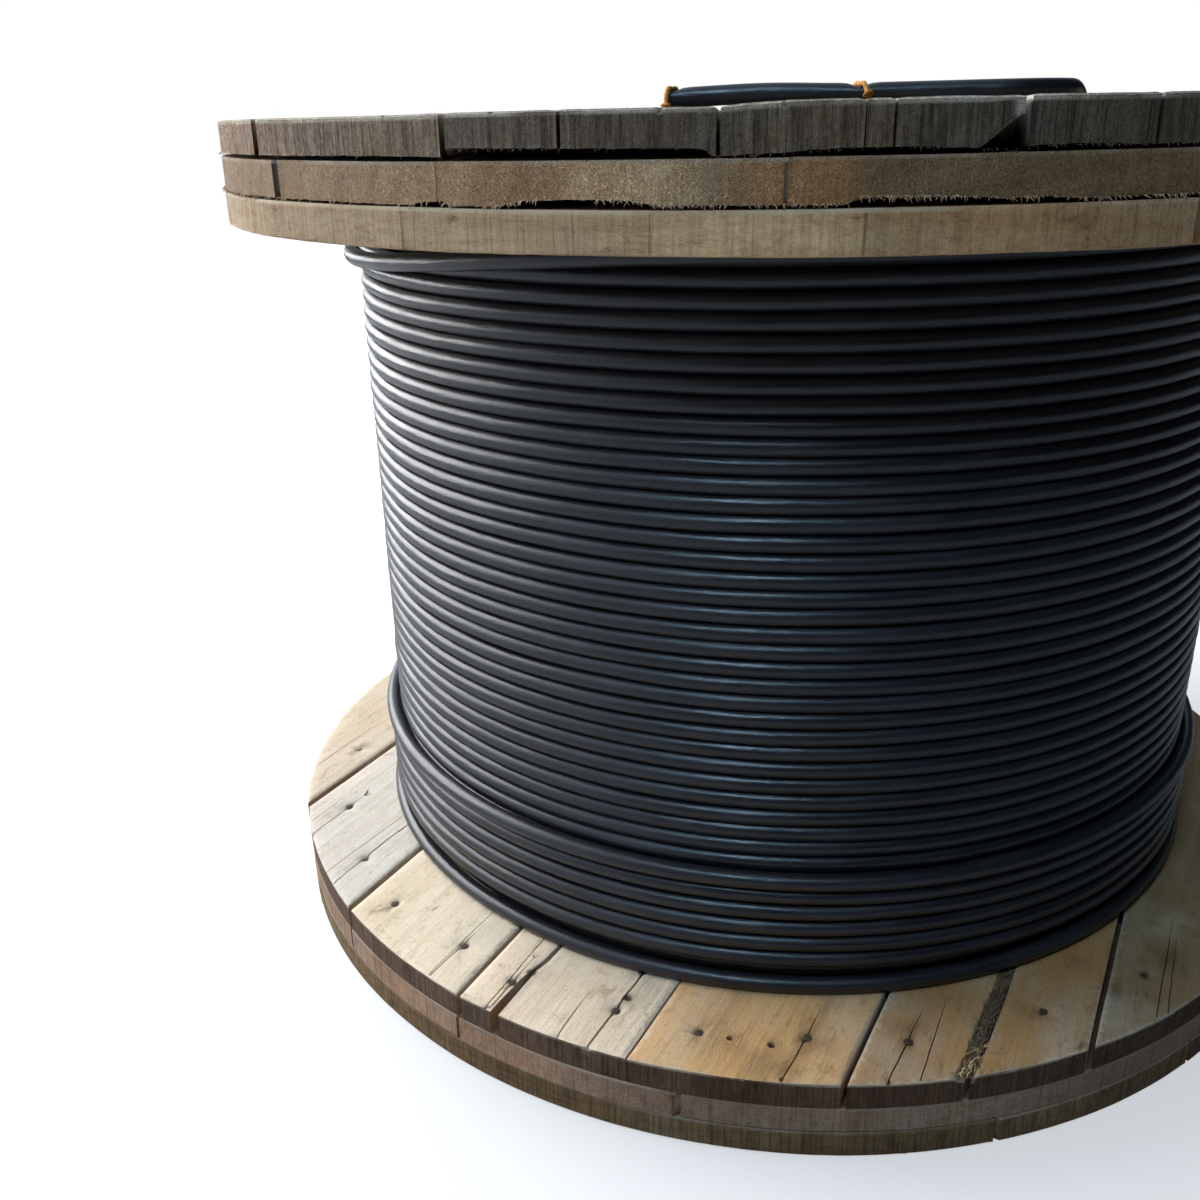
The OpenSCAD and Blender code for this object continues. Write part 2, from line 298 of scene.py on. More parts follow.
def wood(name, weather=0.3, dirt=0.3, fibre=0.4, saw=0.0, rough=0.8, grey=(0.33, 0.32, 0.30),
         soil=(0.035, 0.027, 0.02), figure=0.5, grain_bump=0.5, shade=(1, 1, 1), fuzz=0.0,
         pale=(0.5, 0.47, 0.42), cuts=0.0, grit=0.0, base=None):
    """Rough sawn wood. The mesh carries the grain's direction, each board's own tint with its painted light and
    shade, the wear of its arrises with a painted highlight on the top ones, and marks: knots, stains and painted
    shade in the cracks."""
    t = Tree(name)
    grain = t.attribute("grain")
    tint = t.mix(1.0, t.attribute("tint", "Color"), shade, "MULTIPLY")
    if base:
        tint = t.mix(0.6, tint, base)
    wear_and_highlight = t.attribute("tint", "Alpha")
    mark = t.parts(t.attribute("mark"))
    broad = t.noise(t.scaled(grain, (2.2, 16, 16)), 1, 5, 0.6, 0.6)
    rings = t.rings(t.scaled(grain, (0.5, 9, 9)), 1.6, 5.0, 3.0)
    lines = t.noise(t.scaled(grain, (9, 260, 260)), 1, 4, 0.62)
    hair = t.noise(t.scaled(grain, (34, 1150, 1150)), 1, 3, 0.6)
    patches = t.noise(t.scaled(grain, (7, 11, 11)), 1, 6, 0.62, 0.3)
    speck = t.noise(t.scaled(grain, (150, 420, 420)), 1, 3, 0.6)
    blotch = t.noise(t.scaled(grain, (13, 24, 24), (3, 1, 7)), 1, 5, 0.7, 0.8)
    colour = t.glaze(tint, broad, 0.35, 0.75, figure, (0.62, 0.47, 0.32))
    colour = t.glaze(colour, rings, 0.5, 1.0, figure * 0.5, (0.66, 0.50, 0.34))
    colour = t.glaze(colour, lines, 0.46, 0.72, fibre, (0.40, 0.32, 0.25))
    colour = t.glaze(colour, hair, 0.52, 0.75, fibre, (0.45, 0.38, 0.32))
    colour = t.glaze(colour, hair, 0.45, 0.25, fibre * 0.5, (1.35, 1.33, 1.3))
    colour = t.mix(t.span(patches, 0.42, 0.68, 0.0, weather), colour, grey)
    colour = t.mix(t.span(speck, 0.6, 0.78, 0.0, dirt * 0.8), colour, soil)
    colour = t.mix(t.span(blotch, 0.54, 0.8, 0.0, dirt), colour, soil)
    if saw:
        colour, strokes = saw_marks(t, colour, saw, cuts)
    if grit:
        colour, gritty = worn_grit(t, grain, colour, grit)
    if fuzz:
        colour, woolly = torn_fleece(t, patches, colour, fuzz)
    # pale arrises: wear, and a painted highlight along the top edges only
    edge = t.math("MULTIPLY", wear_and_highlight, t.span(patches, 0.38, 0.6, 0.15, 0.85))
    colour = t.mix(edge, colour, pale)
    # stains, and painted shade in the cracks, darken the wood to a dark brown
    stained_and_shaded = t.math("MULTIPLY", mark[1], t.span(lines, 0.35, 0.6, 0.6, 1.0))
    colour = t.mix(stained_and_shaded, colour, (0.045, 0.028, 0.016))
    colour = t.mix(mark[0], colour, (0.035, 0.017, 0.009))
    colour = t.mix(1.0, colour, (1.06, 0.97, 0.87), "MULTIPLY")
    height = t.math("ADD", t.math("MULTIPLY", lines, 0.9), t.math("MULTIPLY", hair, 0.45))
    height = t.math("ADD", height, t.math("MULTIPLY", broad, 0.7))
    normal = t.bump(height, grain_bump, 0.0011)
    if saw:
        normal = t.bump(strokes, saw, 0.0016, normal)
    if fuzz:
        normal = t.bump(woolly, 0.9, 0.0022 * fuzz, normal)
    if grit:
        normal = t.bump(gritty, 0.6 * grit, 0.0010, normal)
    return t.surface(colour, t.span(lines, 0.3, 0.7, rough - 0.08, rough + 0.1), normal, specular=0.3)

def plain_wood(name, base):
    """Sawn pine for the hidden staves, with its grain running up the barrel."""
    t = Tree(name)
    broad = t.noise(t.scaled(t.position(), (30, 30, 3)), 1, 5, 0.6, 0.5)
    lines = t.noise(t.scaled(t.position(), (300, 300, 9)), 1, 4, 0.6)
    colour = t.mix(t.span(broad, 0.35, 0.7), base, [0.6 * c for c in base])
    colour = t.glaze(colour, lines, 0.45, 0.7, 0.5, (0.5, 0.4, 0.3))
    return t.surface(colour, 0.8, t.bump(lines, 0.4, 0.001))

def sheath():
    """Satin black cable sheath with faint scuffs along it."""
    t = Tree("cable_sheath")
    along_it = t.attribute("grain")
    scuff = t.noise(t.scaled(along_it, (26, 420, 1)), 1, 5, 0.6)
    blot = t.noise(t.scaled(along_it, (9, 60, 1)), 1, 5, 0.65, 0.4)
    fine = t.noise(t.position(), 900, 3, 0.6)
    soft = t.noise(t.scaled(along_it, (22, 130, 1)), 1, 4, 0.55)
    colour = t.mix(t.span(blot, 0.4, 0.75), (0.010, 0.0105, 0.013), (0.021, 0.022, 0.026))
    colour = t.mix(t.span(scuff, 0.66, 0.82, 0.0, 0.5), colour, (0.06, 0.06, 0.06))
    height = t.math("ADD", t.math("MULTIPLY", fine, 0.12), t.math("MULTIPLY", soft, 1.6))
    return t.surface(colour, t.span(blot, 0.3, 0.75, 0.30, 0.44), t.bump(height, 0.4, 0.0012))

def rusty(name, bright, deep):
    """Rusted steel of the nails, brighter on the shanks and deeper in the hollows."""
    t = Tree(name)
    crust = t.noise(t.position(), 420, 6, 0.7)
    pits = t.noise(t.position(), 1500, 4, 0.6)
    colour = t.mix(t.span(crust, 0.36, 0.6), deep, bright)
    colour = t.mix(t.span(pits, 0.58, 0.72, 0.0, 0.8), colour, (0.03, 0.012, 0.008))
    normal = t.bump(t.math("ADD", crust, pits), 0.7, 0.0006)
    return t.surface(colour, 0.78, normal, metallic=0.15)

def plated():
    """Dull zinc plating with white bloom and a little rust."""
    t = Tree("plated_steel")
    bloom = t.noise(t.position(), 160, 6, 0.65)
    rust = t.noise(t.position(), 70, 6, 0.7, 0.5)
    colour = t.mix(t.span(bloom, 0.4, 0.7), (0.42, 0.43, 0.45), (0.6, 0.6, 0.58))
    colour = t.mix(t.span(rust, 0.52, 0.68, 0.0, 0.9), colour, (0.2, 0.08, 0.03))
    return t.surface(colour, t.span(bloom, 0.3, 0.7, 0.35, 0.65), t.bump(bloom, 0.3, 0.0005),
                     metallic=t.span(rust, 0.5, 0.66, 0.9, 0.1))

# ---------------------------------------------------------------- boards

def board_numbers(node):
    """Boards are numbered across a layer, with 0 in the middle."""
    _, shift, pitch = LAYERS[node]
    last = math.floor((FLANGE_R - NARROWEST - abs(shift)) / pitch + 0.5)
    return range(-last, last + 1)

def board_sides(node, k, gap=0.0):
    """Where a board's long sides lie across its layer; an end board runs out past the rim."""
    _, shift, pitch = LAYERS[node]
    numbers = board_numbers(node)
    lo = -1.0 if k == numbers[0] else shift + (k - 0.5) * pitch + gap
    hi = 1.0 if k == numbers[-1] else shift + (k + 0.5) * pitch - gap
    return lo, hi

def nail_places(node, k, lo, hi):
    """Two nails at each end of a board, a little in from the rim, in the board's own frame."""
    found = []
    r = rnd(node, "nails", k)
    centre = (max(lo, -FLANGE_R) + min(hi, FLANGE_R)) / 2
    half = min(hi, FLANGE_R) - centre
    for side in (-1, 1):
        for across in (-0.54, 0.54):
            v = centre + across * half + r.uniform(-0.006, 0.006)
            ring = 0.915 * FLANGE_R + r.uniform(-0.006, 0.006)
            if abs(v) < ring * 0.985:
                found.append((side * math.sqrt(ring ** 2 - v ** 2), v))
    return found


class Board:
    """One board of a flange layer: its outline, splits and hollows in its own frame (u runs
    along the grain and v across it), and the relief of its faces."""

    def __init__(self, node, k, looks):
        self.node, self.k, self.looks = node, k, looks
        self.turn = math.radians(LAYERS[node][0])
        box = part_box(node)
        self.z0, self.z1 = box[0].z, box[1].z
        r = rnd(node, k)
        trims = looks.get("trims", {})
        lo, hi = board_sides(node, k, BOARD_GAP / 2)
        self.lo = lo + trims.get(k - 0.5, r.uniform(0.0, MOST_TRIM))
        self.hi = hi - trims.get(k + 0.5, r.uniform(0.0, MOST_TRIM))
        self.rim = FLANGE_R - looks.get("rims", {}).get(k, r.uniform(0.0, 0.0018))
        self.seed = r.uniform(0, 90)
        self.splits = looks.get("splits", {}).get(k, [])
        self.grooves = list(looks.get("grooves", {}).get(k, []))
        self.knots = list(looks.get("knots", {}).get(k, []))
        self.chips = looks.get("chips", {}).get(k, [])
        self.strips = looks.get("strips", {}).get(k, [])
        self.nails = nail_places(node, k, self.lo, self.hi) if looks.get("nails") else []
        self.dense = looks.get("dense", "")
        self.add_random_marks(r)

    def add_random_marks(self, r):
        """Short drying checks in from the rim, through some of the nails, and a few knots."""
        if not self.dense:
            return
        for u, v in self.nails:
            if r.random() < 0.5:
                side = 1 if u > 0 else -1
                end = side * (math.sqrt(self.rim ** 2 - v ** 2) + 0.001)
                start = u - side * r.uniform(0.01, 0.05)
                self.grooves.append((start, v, end, v + r.uniform(-0.004, 0.004), 0.0006, 0.003))
        for _ in range(self.looks.get("checks", 2)):
            v = r.uniform(max(self.lo, -0.47) + 0.02, min(self.hi, 0.47) - 0.02)
            reach = math.sqrt(self.rim ** 2 - v ** 2)
            side = r.choice((-1, 1))
            length = r.uniform(0.03, 0.16)
            skew = r.uniform(-0.006, 0.006)
            self.grooves.append((side * (reach - length), v, side * (reach + 0.001), v + skew,
                                 r.uniform(0.0003, 0.0006), 0.003))
        for _ in range(self.looks.get("extra_knots", 1)):
            v = r.uniform(max(self.lo, -0.4) + 0.02, min(self.hi, 0.4) - 0.02)
            reach = math.sqrt(self.rim ** 2 - v ** 2)
            self.knots.append((r.uniform(-0.8, 0.8) * reach, v, r.uniform(0.004, 0.009)))

    # -- outline -------------------------------------------------------

    def edge(self, v, u):
        """A sawn board's side edge isn't quite straight."""
        return v + 0.0006 * wander(u * 9, self.seed) + 0.0002 * wander(u * 60, self.seed, 5)

    def arc(self, a, b):
        n = max(2, int(abs(b - a) * self.rim / self.looks.get("pace", 0.0045)))
        return [(self.rim * math.cos(a + (b - a) * i / n), self.rim * math.sin(a + (b - a) * i / n))
                for i in range(n + 1)]

    def outline(self):
        lo, hi, rim = max(self.lo, -self.rim), min(self.hi, self.rim), self.rim
        a, b = math.asin(lo / rim), math.asin(hi / rim)
        right = self.arc(a, b)
        left = self.arc(math.pi - b, math.pi - a)
        loop = list(right)
        if self.hi < rim:
            u0, u1 = right[-1][0], left[0][0]
            n = int((u0 - u1) / 0.010)
            loop += [(u0 + (u1 - u0) * i / n, hi) for i in range(1, n)]
        loop += left if self.hi < rim else left[1:]
        if self.lo > -rim:
            u0, u1 = left[-1][0], right[0][0]
            n = int((u1 - u0) / 0.010)
            loop += [(u0 + (u1 - u0) * i / n, lo) for i in range(1, n)]
        else:
            loop.pop()
        return loop

    def split_at(self, split, u):
        """Middle and half width of a split at u, or None outside its length."""
        pts = split["points"]
        if not min(pts[0][0], pts[-1][0]) <= u <= max(pts[0][0], pts[-1][0]):
            return None
        for (u0, v0, w0), (u1, v1, w1) in zip(pts, pts[1:]):
            if min(u0, u1) <= u <= max(u0, u1):
                f = (u - u0) / (u1 - u0)
                return v0 + f * (v1 - v0), w0 + f * (w1 - w0)
        return None

    def hollow_list(self):
        """Holes and pockets: (u, v, outer radius, inner radius, which face, depth)."""
        c, s = math.cos(-self.turn), math.sin(-self.turn)
        found = [(0.0, 0.0, BORE_R, 0.0, "through", 0.0)]
        for i in range(4):
            a = math.radians(45 + 90 * i)
            x, y = ROD_CIRCLE_R * math.cos(a), ROD_CIRCLE_R * math.sin(a)
            u, v = c * x - s * y, s * x + c * y
            found.append((u, v, ROD_R, 0.0, "through", 0.0))
            if self.node == "lower_outer_boards":
                found.append((u, v, RECESS_R, ROD_R, "bottom", RECESS_DEPTH))
            if self.node == "upper_outer_boards":
                found.append((u, v, RECESS_R, ROD_R, "top", RECESS_DEPTH))
        if self.node == "lower_inner_boards":
            found.append((0, 0, STAVE_GROOVE_OUT, STAVE_GROOVE_IN, "top", GROOVE_DEPTH))
        if self.node == "upper_inner_boards":
            found.append((0, 0, STAVE_GROOVE_OUT, STAVE_GROOVE_IN, "bottom", GROOVE_DEPTH))
        return [h for h in found if self.lo - h[2] < h[1] < self.hi + h[2]]

    def exit_slot(self):
        """The slanted hole of the cable end, where it crosses this board's top face."""
        if not self.node.startswith("upper"):
            return None
        heading = EXIT_AZ - math.pi / 2
        run = (self.z1 - Z_UPPER) / math.tan(EXIT_SLOPE)
        x = EXIT_R * math.cos(EXIT_AZ) + run * math.cos(heading)
        y = EXIT_R * math.sin(EXIT_AZ) + run * math.sin(heading)
        c, s = math.cos(-self.turn), math.sin(-self.turn)
        long_r = (CABLE_R + EXIT_PLAY) / math.sin(EXIT_SLOPE)
        ahead = EXIT_LIP if self.node == "upper_outer_boards" else 0.0
        hx, hy = math.cos(heading), math.sin(heading)
        x, y = x + ahead / 2 * hx, y + ahead / 2 * hy
        return (c * x - s * y, s * x + c * y, heading - self.turn, long_r + ahead / 2, CABLE_R + EXIT_PLAY)

    def in_slot(self, u, v):
        if self.slot is None:
            return False
        cu, cv, turn, a, b = self.slot
        du, dv = u - cu, v - cv
        x = math.cos(turn) * du + math.sin(turn) * dv
        y = -math.sin(turn) * du + math.cos(turn) * dv
        return (x / a) ** 2 + (y / b) ** 2 < 0.985

    # -- relief --------------------------------------------------------

    def groove_drop(self, u, v):
        """How far the cracks lower the face at this point; marks paints the cracks darker by this depth, as
        painted shade.
        """
        deep = 0.0
        for u0, v0, u1, v1, half, depth in self.grooves:
            f = (u - u0) / (u1 - u0)
            if 0 <= f <= 1:
                mid = v0 + f * (v1 - v0) + 0.0008 * wander(u * 45, v0 * 90, self.seed) * min(1, 4 * f)
                wide = half * min(1.0, 0.25 + 1.5 * f)
                off = abs(v - mid)
                if off < wide:
                    deep = max(deep, depth * (1 - off / wide))
        return deep

    def strip_at(self, u, v):
        """How deep in a torn-out strip this point lies, from 0 outside it to 1."""
        inside = 0.0
        for u0, v0, u1, v1, half, _ in self.strips:
            f = (u - u0) / (u1 - u0)
            if 0 <= f <= 1:
                off = abs(v - v0 - f * (v1 - v0) - 0.002 * wander(u * 30, self.seed))
                ragged = half * (1 + 0.25 * wander(u * 160, v * 20, self.seed))
                inside = max(inside, 1 - smooth(off, 0.72 * ragged, ragged))
        return inside

    def face_drop(self, u, v):
        """Rounded arrises, weather-worn waves and dents of a visible face."""
        r = math.hypot(u, v)
        drop = 0.0005 * (1 + wander(u * 7, v * 22, self.seed)) + 0.0002 * wander(u * 40, v * 130, self.seed)
        for ku, kv, kr in self.knots:
            d = math.hypot(u - ku, v - kv) / kr
            if d < 1.6:
                drop += 0.0012 * (1 - smooth(d, 0.2, 1.0)) - 0.0007 * math.exp(-((d - 1.1) / 0.25) ** 2)
        for nu, nv in self.nails:
            d = math.hypot(u - nu, v - nv)
            if d < 0.007:
                drop += 0.0022 * (1 - smooth(d, 0.002, 0.006))
        drop += self.groove_drop(u, v)
        for strip in self.strips:
            drop += strip[5] * self.strip_at(u, v) * (0.75 + 0.5 * wander(u * 60, v * 420, self.seed))
        edge = min(v - self.lo, self.hi - v, self.rim - r)
        cup = 0.0
        if "cupped" in self.looks:
            cup = at_azimuth(self.looks["cupped"], math.atan2(v, u) + self.turn)
        return max(0.0, drop) + 0.0011 * (1 - smooth(edge, -0.001, 0.0035)) - cup * smooth(r, 0.42, 0.49)

    def grain(self, u, v, z):
        """The grain's own coordinates, which swerve round the knots."""
        bend = 0.0
        for ku, kv, kr in self.knots:
            du, dv = (u - ku) / (4.5 * kr), (v - kv) / (2.6 * kr)
            bend -= 0.8 * (v - kv) * math.exp(-(du * du + dv * dv))
        v2 = v + bend + 0.006 * wander(u * 2.2, self.seed)
        return (u + self.seed, v2 + self.seed * 0.37, z + self.seed * 0.11)

    def marks(self, u, v, on_top):
        """Knots, and stains with painted shade in the cracks, at a vertex, in the first two places."""
        knot = stain_and_shade = 0.0
        for ku, kv, kr in self.knots:
            d = math.hypot(u - ku, v - kv) / kr
            knot = max(knot, 0.95 * (1 - smooth(d, 0.55, 1.1)))
            halo = math.hypot((u - ku) / (4 * kr), (v - kv) / (1.9 * kr))
            stain_and_shade = max(stain_and_shade, 0.35 * (1 - smooth(halo, 0.3, 1.0)))
        for nu, nv in self.nails:
            d = math.hypot((u - nu) / 2.2, v - nv) * (1 + 0.4 * wander(u * 200, v * 200, 1))
            stain_and_shade = max(stain_and_shade, 0.90 * (1 - smooth(d, 0.0018, 0.0040)))
            halo = math.hypot((u - nu) / 4.0, v - nv) * (1 + 0.5 * wander(u * 60, v * 120, 2))
            stain_and_shade = max(stain_and_shade, 0.20 * (1 - smooth(halo, 0.001, 0.008)))
        # painted shade: the cracks darken by their depth
        if on_top:
            stain_and_shade = max(stain_and_shade, min(1.0, self.groove_drop(u, v) / 0.0012))
        for su, sv, sr, much in self.looks.get("stains", {}).get(self.k, []):
            blur = math.hypot((u - su) / 1.6, v - sv) * (1 + 0.5 * wander(u * 70, v * 110, self.seed))
            stain_and_shade = max(stain_and_shade, much * (1 - smooth(blur, 0, sr)))
        if self.strips and on_top:
            stain_and_shade = max(stain_and_shade, self.strip_at(u, v) * (0.72 + 0.5 * wander(u * 90, v * 700, 3)))
        return (knot, stain_and_shade, 0.0)

    # -- mesh ----------------------------------------------------------

    def lay_out(self):
        """Points and constraint edges of the flat layout."""
        pts, edges = [], []

        def line(points, closed=False):
            start = len(pts)
            pts.extend(points)
            n = len(points)
            edges.extend((start + i, start + i + 1) for i in range(n - 1))
            if closed:
                edges.append((start + n - 1, start))

        loop = self.outline()
        line(loop, True)
        for u, v, out_r, in_r, _, _ in self.hollows:
            for radius in ((out_r, in_r) if in_r > 0.1 else (out_r,)):
                n = 180 if radius > 0.1 else (48 if radius > 0.03 else 28)
                line(circle(u, v, radius, n), True)
        if self.slot:
            cu, cv, turn, a, b = self.slot
            ring = [(a * math.cos(math.tau * i / 40), b * math.sin(math.tau * i / 40)) for i in range(40)]
            c, s = math.cos(turn), math.sin(turn)
            line([(cu + c * x - s * y, cv + s * x + c * y) for x, y in ring], True)
        for split in self.splits:
            for side in (-1, 1):
                line([(u, v + side * w) for u, v, w in split["points"]])
        for u0, v0, u1, v1, half, _ in self.strips:
            n = int(abs(u1 - u0) / 0.004)
            for side in (-1.1, -0.9, -0.68, -0.4, -0.12, 0.16, 0.44, 0.72, 0.92, 1.1):
                row = [(u0 + (u1 - u0) * i / n, v0 + (v1 - v0) * i / n + side * half) for i in range(n + 1)]
                pts.extend(p for p in row if math.hypot(*p) < self.rim - 0.002)
        if self.dense:
            for u0, v0, u1, v1, half, _ in self.grooves:
                n = max(3, int(abs(u1 - u0) / 0.006))
                for side in (-1, 0, 1):
                    row = []
                    for i in range(n + 1):
                        f = i / n
                        u = u0 + f * (u1 - u0)
                        mid = v0 + f * (v1 - v0) + 0.0008 * wander(u * 45, v0 * 90, self.seed) * min(1, 4 * f)
                        row.append((u, mid + side * half * min(1.0, 0.25 + 1.5 * f)))
                    line([p for p in row if math.hypot(*p) < self.rim - 0.0004])
        return pts, edges

    def fill_points(self, taken):
        """Loose points: a soft grid over the face, and rings round each mark."""
        found = []
        cell = 0.004
        used = {(round(u / cell), round(v / cell)) for u, v in taken}
        step = 0.013 if self.dense else 0.045
        lo, hi = max(self.lo, -self.rim), min(self.hi, self.rim)
        rings = []
        if self.dense:
            for ku, kv, kr in self.knots:
                rings += [(ku, kv, kr * f, 12) for f in (0.3, 0.7, 1.0, 1.35)]
            for nu, nv in self.nails:
                rings += [(nu, nv, f, 10) for f in (0.001, 0.0035, 0.006)]
        for cu, cv, radius, n in rings:
            for i in range(n):
                p = (cu + radius * math.cos(math.tau * i / n), cv + radius * math.sin(math.tau * i / n))
                if lo + 0.001 < p[1] < hi - 0.001 and math.hypot(*p) < self.rim - 0.001:
                    found.append(p)
                    used.add((round(p[0] / cell), round(p[1] / cell)))
        inset = [(0.0016, 0.006), (0.0045, 0.008)] if self.dense else [(0.003, 0.012)]
        for depth, pace in inset:
            inner = self.rim - depth
            a0 = math.asin(max(-1, min(1, (lo + depth) / inner)))
            a1 = math.asin(max(-1, min(1, (hi - depth) / inner)))
            n = max(2, int((a1 - a0) * inner / pace))
            for i in range(n + 1):
                a = a0 + (a1 - a0) * i / n
                u, v = inner * math.cos(a), inner * math.sin(a)
                if u > 0.001:
                    found += [(u, v), (-u, v)]
            for v in ((lo + depth) if self.lo > -self.rim else None, (hi - depth) if self.hi < self.rim else None):
                if v is not None:
                    reach = math.sqrt(max(0, inner ** 2 - v ** 2))
                    m = max(2, int(2 * reach / (pace * 1.6)))
                    found += [(-reach + 2 * reach * (i + 0.5) / m, v) for i in range(m)]
        rows = max(1, int((hi - lo) / step))
        for j in range(rows):
            v = lo + (hi - lo) * (j + 0.5) / rows
            reach = math.sqrt(max(0, self.rim ** 2 - v ** 2)) - 0.009
            cols = max(1, int(2 * reach / step))
            for i in range(cols):
                u = -reach + 2 * reach * (i + (0.5 if j % 2 else 0.1)) / cols
                if (round(u / cell), round(v / cell)) not in used:
                    found.append((u, v))
        return found

    def classify(self, u, v):
        """None where there is no wood, else the face levels (top, bottom) at this point."""
        if math.hypot(u, v) > self.rim or not self.lo < v < self.hi:
            return None
        top = bottom = 0.0
        for cu, cv, out_r, in_r, face, depth in self.hollows:
            d = math.hypot(u - cu, v - cv)
            shrink = 0.9995 if out_r > 0.1 else 0.992
            if face == "through" and d < out_r * shrink:
                return None
            if face == "top" and in_r < d < out_r * shrink:
                top = depth
            if face == "bottom" and in_r < d < out_r * shrink:
                bottom = depth
        if self.in_slot(u, v):
            return None
        for split in self.splits:
            at = self.split_at(split, u)
            if at and abs(v - at[0]) < at[1]:
                return None
        return (top, bottom)

    def gape(self, u, v, r):
        """How far the underside has sprung away from the layer below, and what is broken off it."""
        lift = at_azimuth(self.looks.get("gaps", [(0, 0.0)]), math.atan2(v, u) + self.turn)
        lift *= smooth(r, 0.41, 0.49) * (0.95 + 0.3 * wander(u * 9, v * 9, self.seed + 9))
        ragged = self.looks.get("ragged", 0.0) * smooth(r, 0.48, 0.5)
        lift += ragged * (wander(u * 150, v * 150, self.seed) + 0.8 * wander(u * 420, v * 420, self.seed))
        for side, at, wide, high in self.looks.get("bites", {}).get(self.k, []):
            if u * side > 0:
                share = 1 - abs(v - at) / wide
                lift = max(lift, high * max(0.0, share) * smooth(r, 0.462, 0.492))
        return max(0.0, lift)

    def rim_relief(self, angle, z):
        """Saw strokes and torn places on the rim, as a change of radius."""
        arc = angle * self.rim
        big = 0.0007 * wander(arc * 18, z * 9, self.seed) + 0.0003 * wander(arc * 85, z * 20, self.seed)
        fine = 0.00018 * wander(arc * 320, z * 14, self.seed)
        return min(0.0, big - 0.0007) + fine

    def build(self, materials):
        self.hollows = self.hollow_list()
        self.slot = self.exit_slot()
        pts, edges = self.lay_out()
        pts += self.fill_points(pts)
        flat, _, tris, _, _, _ = delaunay_2d_cdt([Vector(p) for p in pts], edges, [], 0, 1e-6)
        level = []
        kept = []
        for t in tris:
            u = sum(flat[i].x for i in t) / 3
            v = sum(flat[i].y for i in t) / 3
            area = abs((flat[t[1]] - flat[t[0]]).cross(flat[t[2]] - flat[t[0]]))
            c = self.classify(u, v)
            if c is not None and area > 1e-9:
                kept.append(t)
                level.append(c)
        self.weld(flat, kept, level, materials)

    def weld(self, flat, kept, level, materials):
        """Turns the flat layout into a closed board."""
        verts, info, faces, mats = [], [], [], []
        edge_use = {}
        for t, c in zip(kept, level):
            for i in range(3):
                a, b = t[i], t[(i + 1) % 3]
                edge_use.setdefault((min(a, b), max(a, b)), []).append((a, b, c))
        border = [uses[0] for uses in edge_use.values() if len(uses) == 1]
        outward = {}
        for a, b, _ in border:
            n = Vector((flat[b].y - flat[a].y, flat[a].x - flat[b].x)).normalized()
            for i in (a, b):
                outward[i] = outward.get(i, Vector((0, 0))) + n
        for n in outward.values():
            n.normalize()
        drops = {}

        def drop(i, face):
            key = (i, face)
            if key not in drops:
                u, v = flat[i].x, flat[i].y
                if self.dense == face:
                    drops[key] = self.face_drop(u, v)
                else:
                    wave = 0.0004 * (1 + wander(u * 8, v * 8, self.seed + 3))
                    r = math.hypot(u, v)
                    drops[key] = (0.0 if r < 0.42 else wave * smooth(r, 0.42, 0.5))
                    if face == "bottom":
                        drops[key] += self.gape(u, v, r)
            return drops[key]

        def add(i, z, push=0.0, on_top=False, wall=False, worn_and_lit=0.0):
            p = flat[i]
            n = outward.get(i, Vector((0, 0)))
            u, v = p.x + n.x * push, p.y + n.y * push
            if wall and math.hypot(p.x, p.y) < self.rim - RIM_BAND and abs(n.y) > 0.5:
                v += self.edge(0.0, u)
            slip = self.slip(p.x, p.y, z)
            verts.append((u + slip[0], v + slip[1], z))
            info.append((p.x, p.y, on_top, worn_and_lit))
            return len(verts) - 1

        tops, bottoms, columns = {}, {}, {}

        def top_of(i, c):
            if (i, c[0]) not in tops:
                inset = -ARRIS if i in outward and c[0] == 0 else 0.0
                z = self.z1 - c[0] - (drop(i, "top") if c[0] == 0 else 0.0)
                # the top face's border gets the pale arris: wear and painted highlight
                tops[(i, c[0])] = add(i, z, inset, True, False, 1.0 if i in outward else 0.0)
            return tops[(i, c[0])]

        def bottom_of(i, c):
            if (i, c[1]) not in bottoms:
                inset = -ARRIS if i in outward and c[1] == 0 else 0.0
                z = self.z0 + c[1] + (drop(i, "bottom") if c[1] == 0 else 0.0)
                bottoms[(i, c[1])] = add(i, z, inset, False)
            return bottoms[(i, c[1])]

        def column(i, c):
            if (i, c) in columns:
                return columns[(i, c)]
            others = [k for k in vertex_levels[i] if k != c]
            deeper = [k for k in others if k[0] > c[0] or k[1] > c[1]]
            if deeper:
                inner = column(i, max(deeper))
                extra_top = [top_of(i, c)] if c[0] < max(deeper)[0] else []
                extra_low = [bottom_of(i, c)] if c[1] < max(deeper)[1] else []
                line = extra_top + inner + extra_low
            else:
                t, b = top_of(i, c), bottom_of(i, c)
                zt, zb = verts[t][2], verts[b][2]
                on_rim = math.hypot(flat[i].x, flat[i].y) > self.rim - RIM_BAND
                steps = (0.055, 0.12, 0.3, 0.5, 0.7, 0.88, 0.945) if on_rim else (0.055, 0.945)
                angle = math.atan2(flat[i].y, flat[i].x)
                line = [t]
                for f in steps:
                    z = zt + (zb - zt) * f
                    push = self.rim_relief(angle, z) if on_rim else 0.0
                    # the wall's top ring gets the pale arris too; the bottom edges get none
                    line.append(add(i, z, push, False, True, 1.0 if f < 0.06 else 0.0))
                line.append(b)
            columns[(i, c)] = line
            return line

        vertex_levels = {}
        for t, c in zip(kept, level):
            for i in t:
                vertex_levels.setdefault(i, set()).add(c)
        for t, c in zip(kept, level):
            faces.append([top_of(i, c) for i in t])
            mats.append(0)
            faces.append([bottom_of(i, c) for i in reversed(t)])
            mats.append(0)

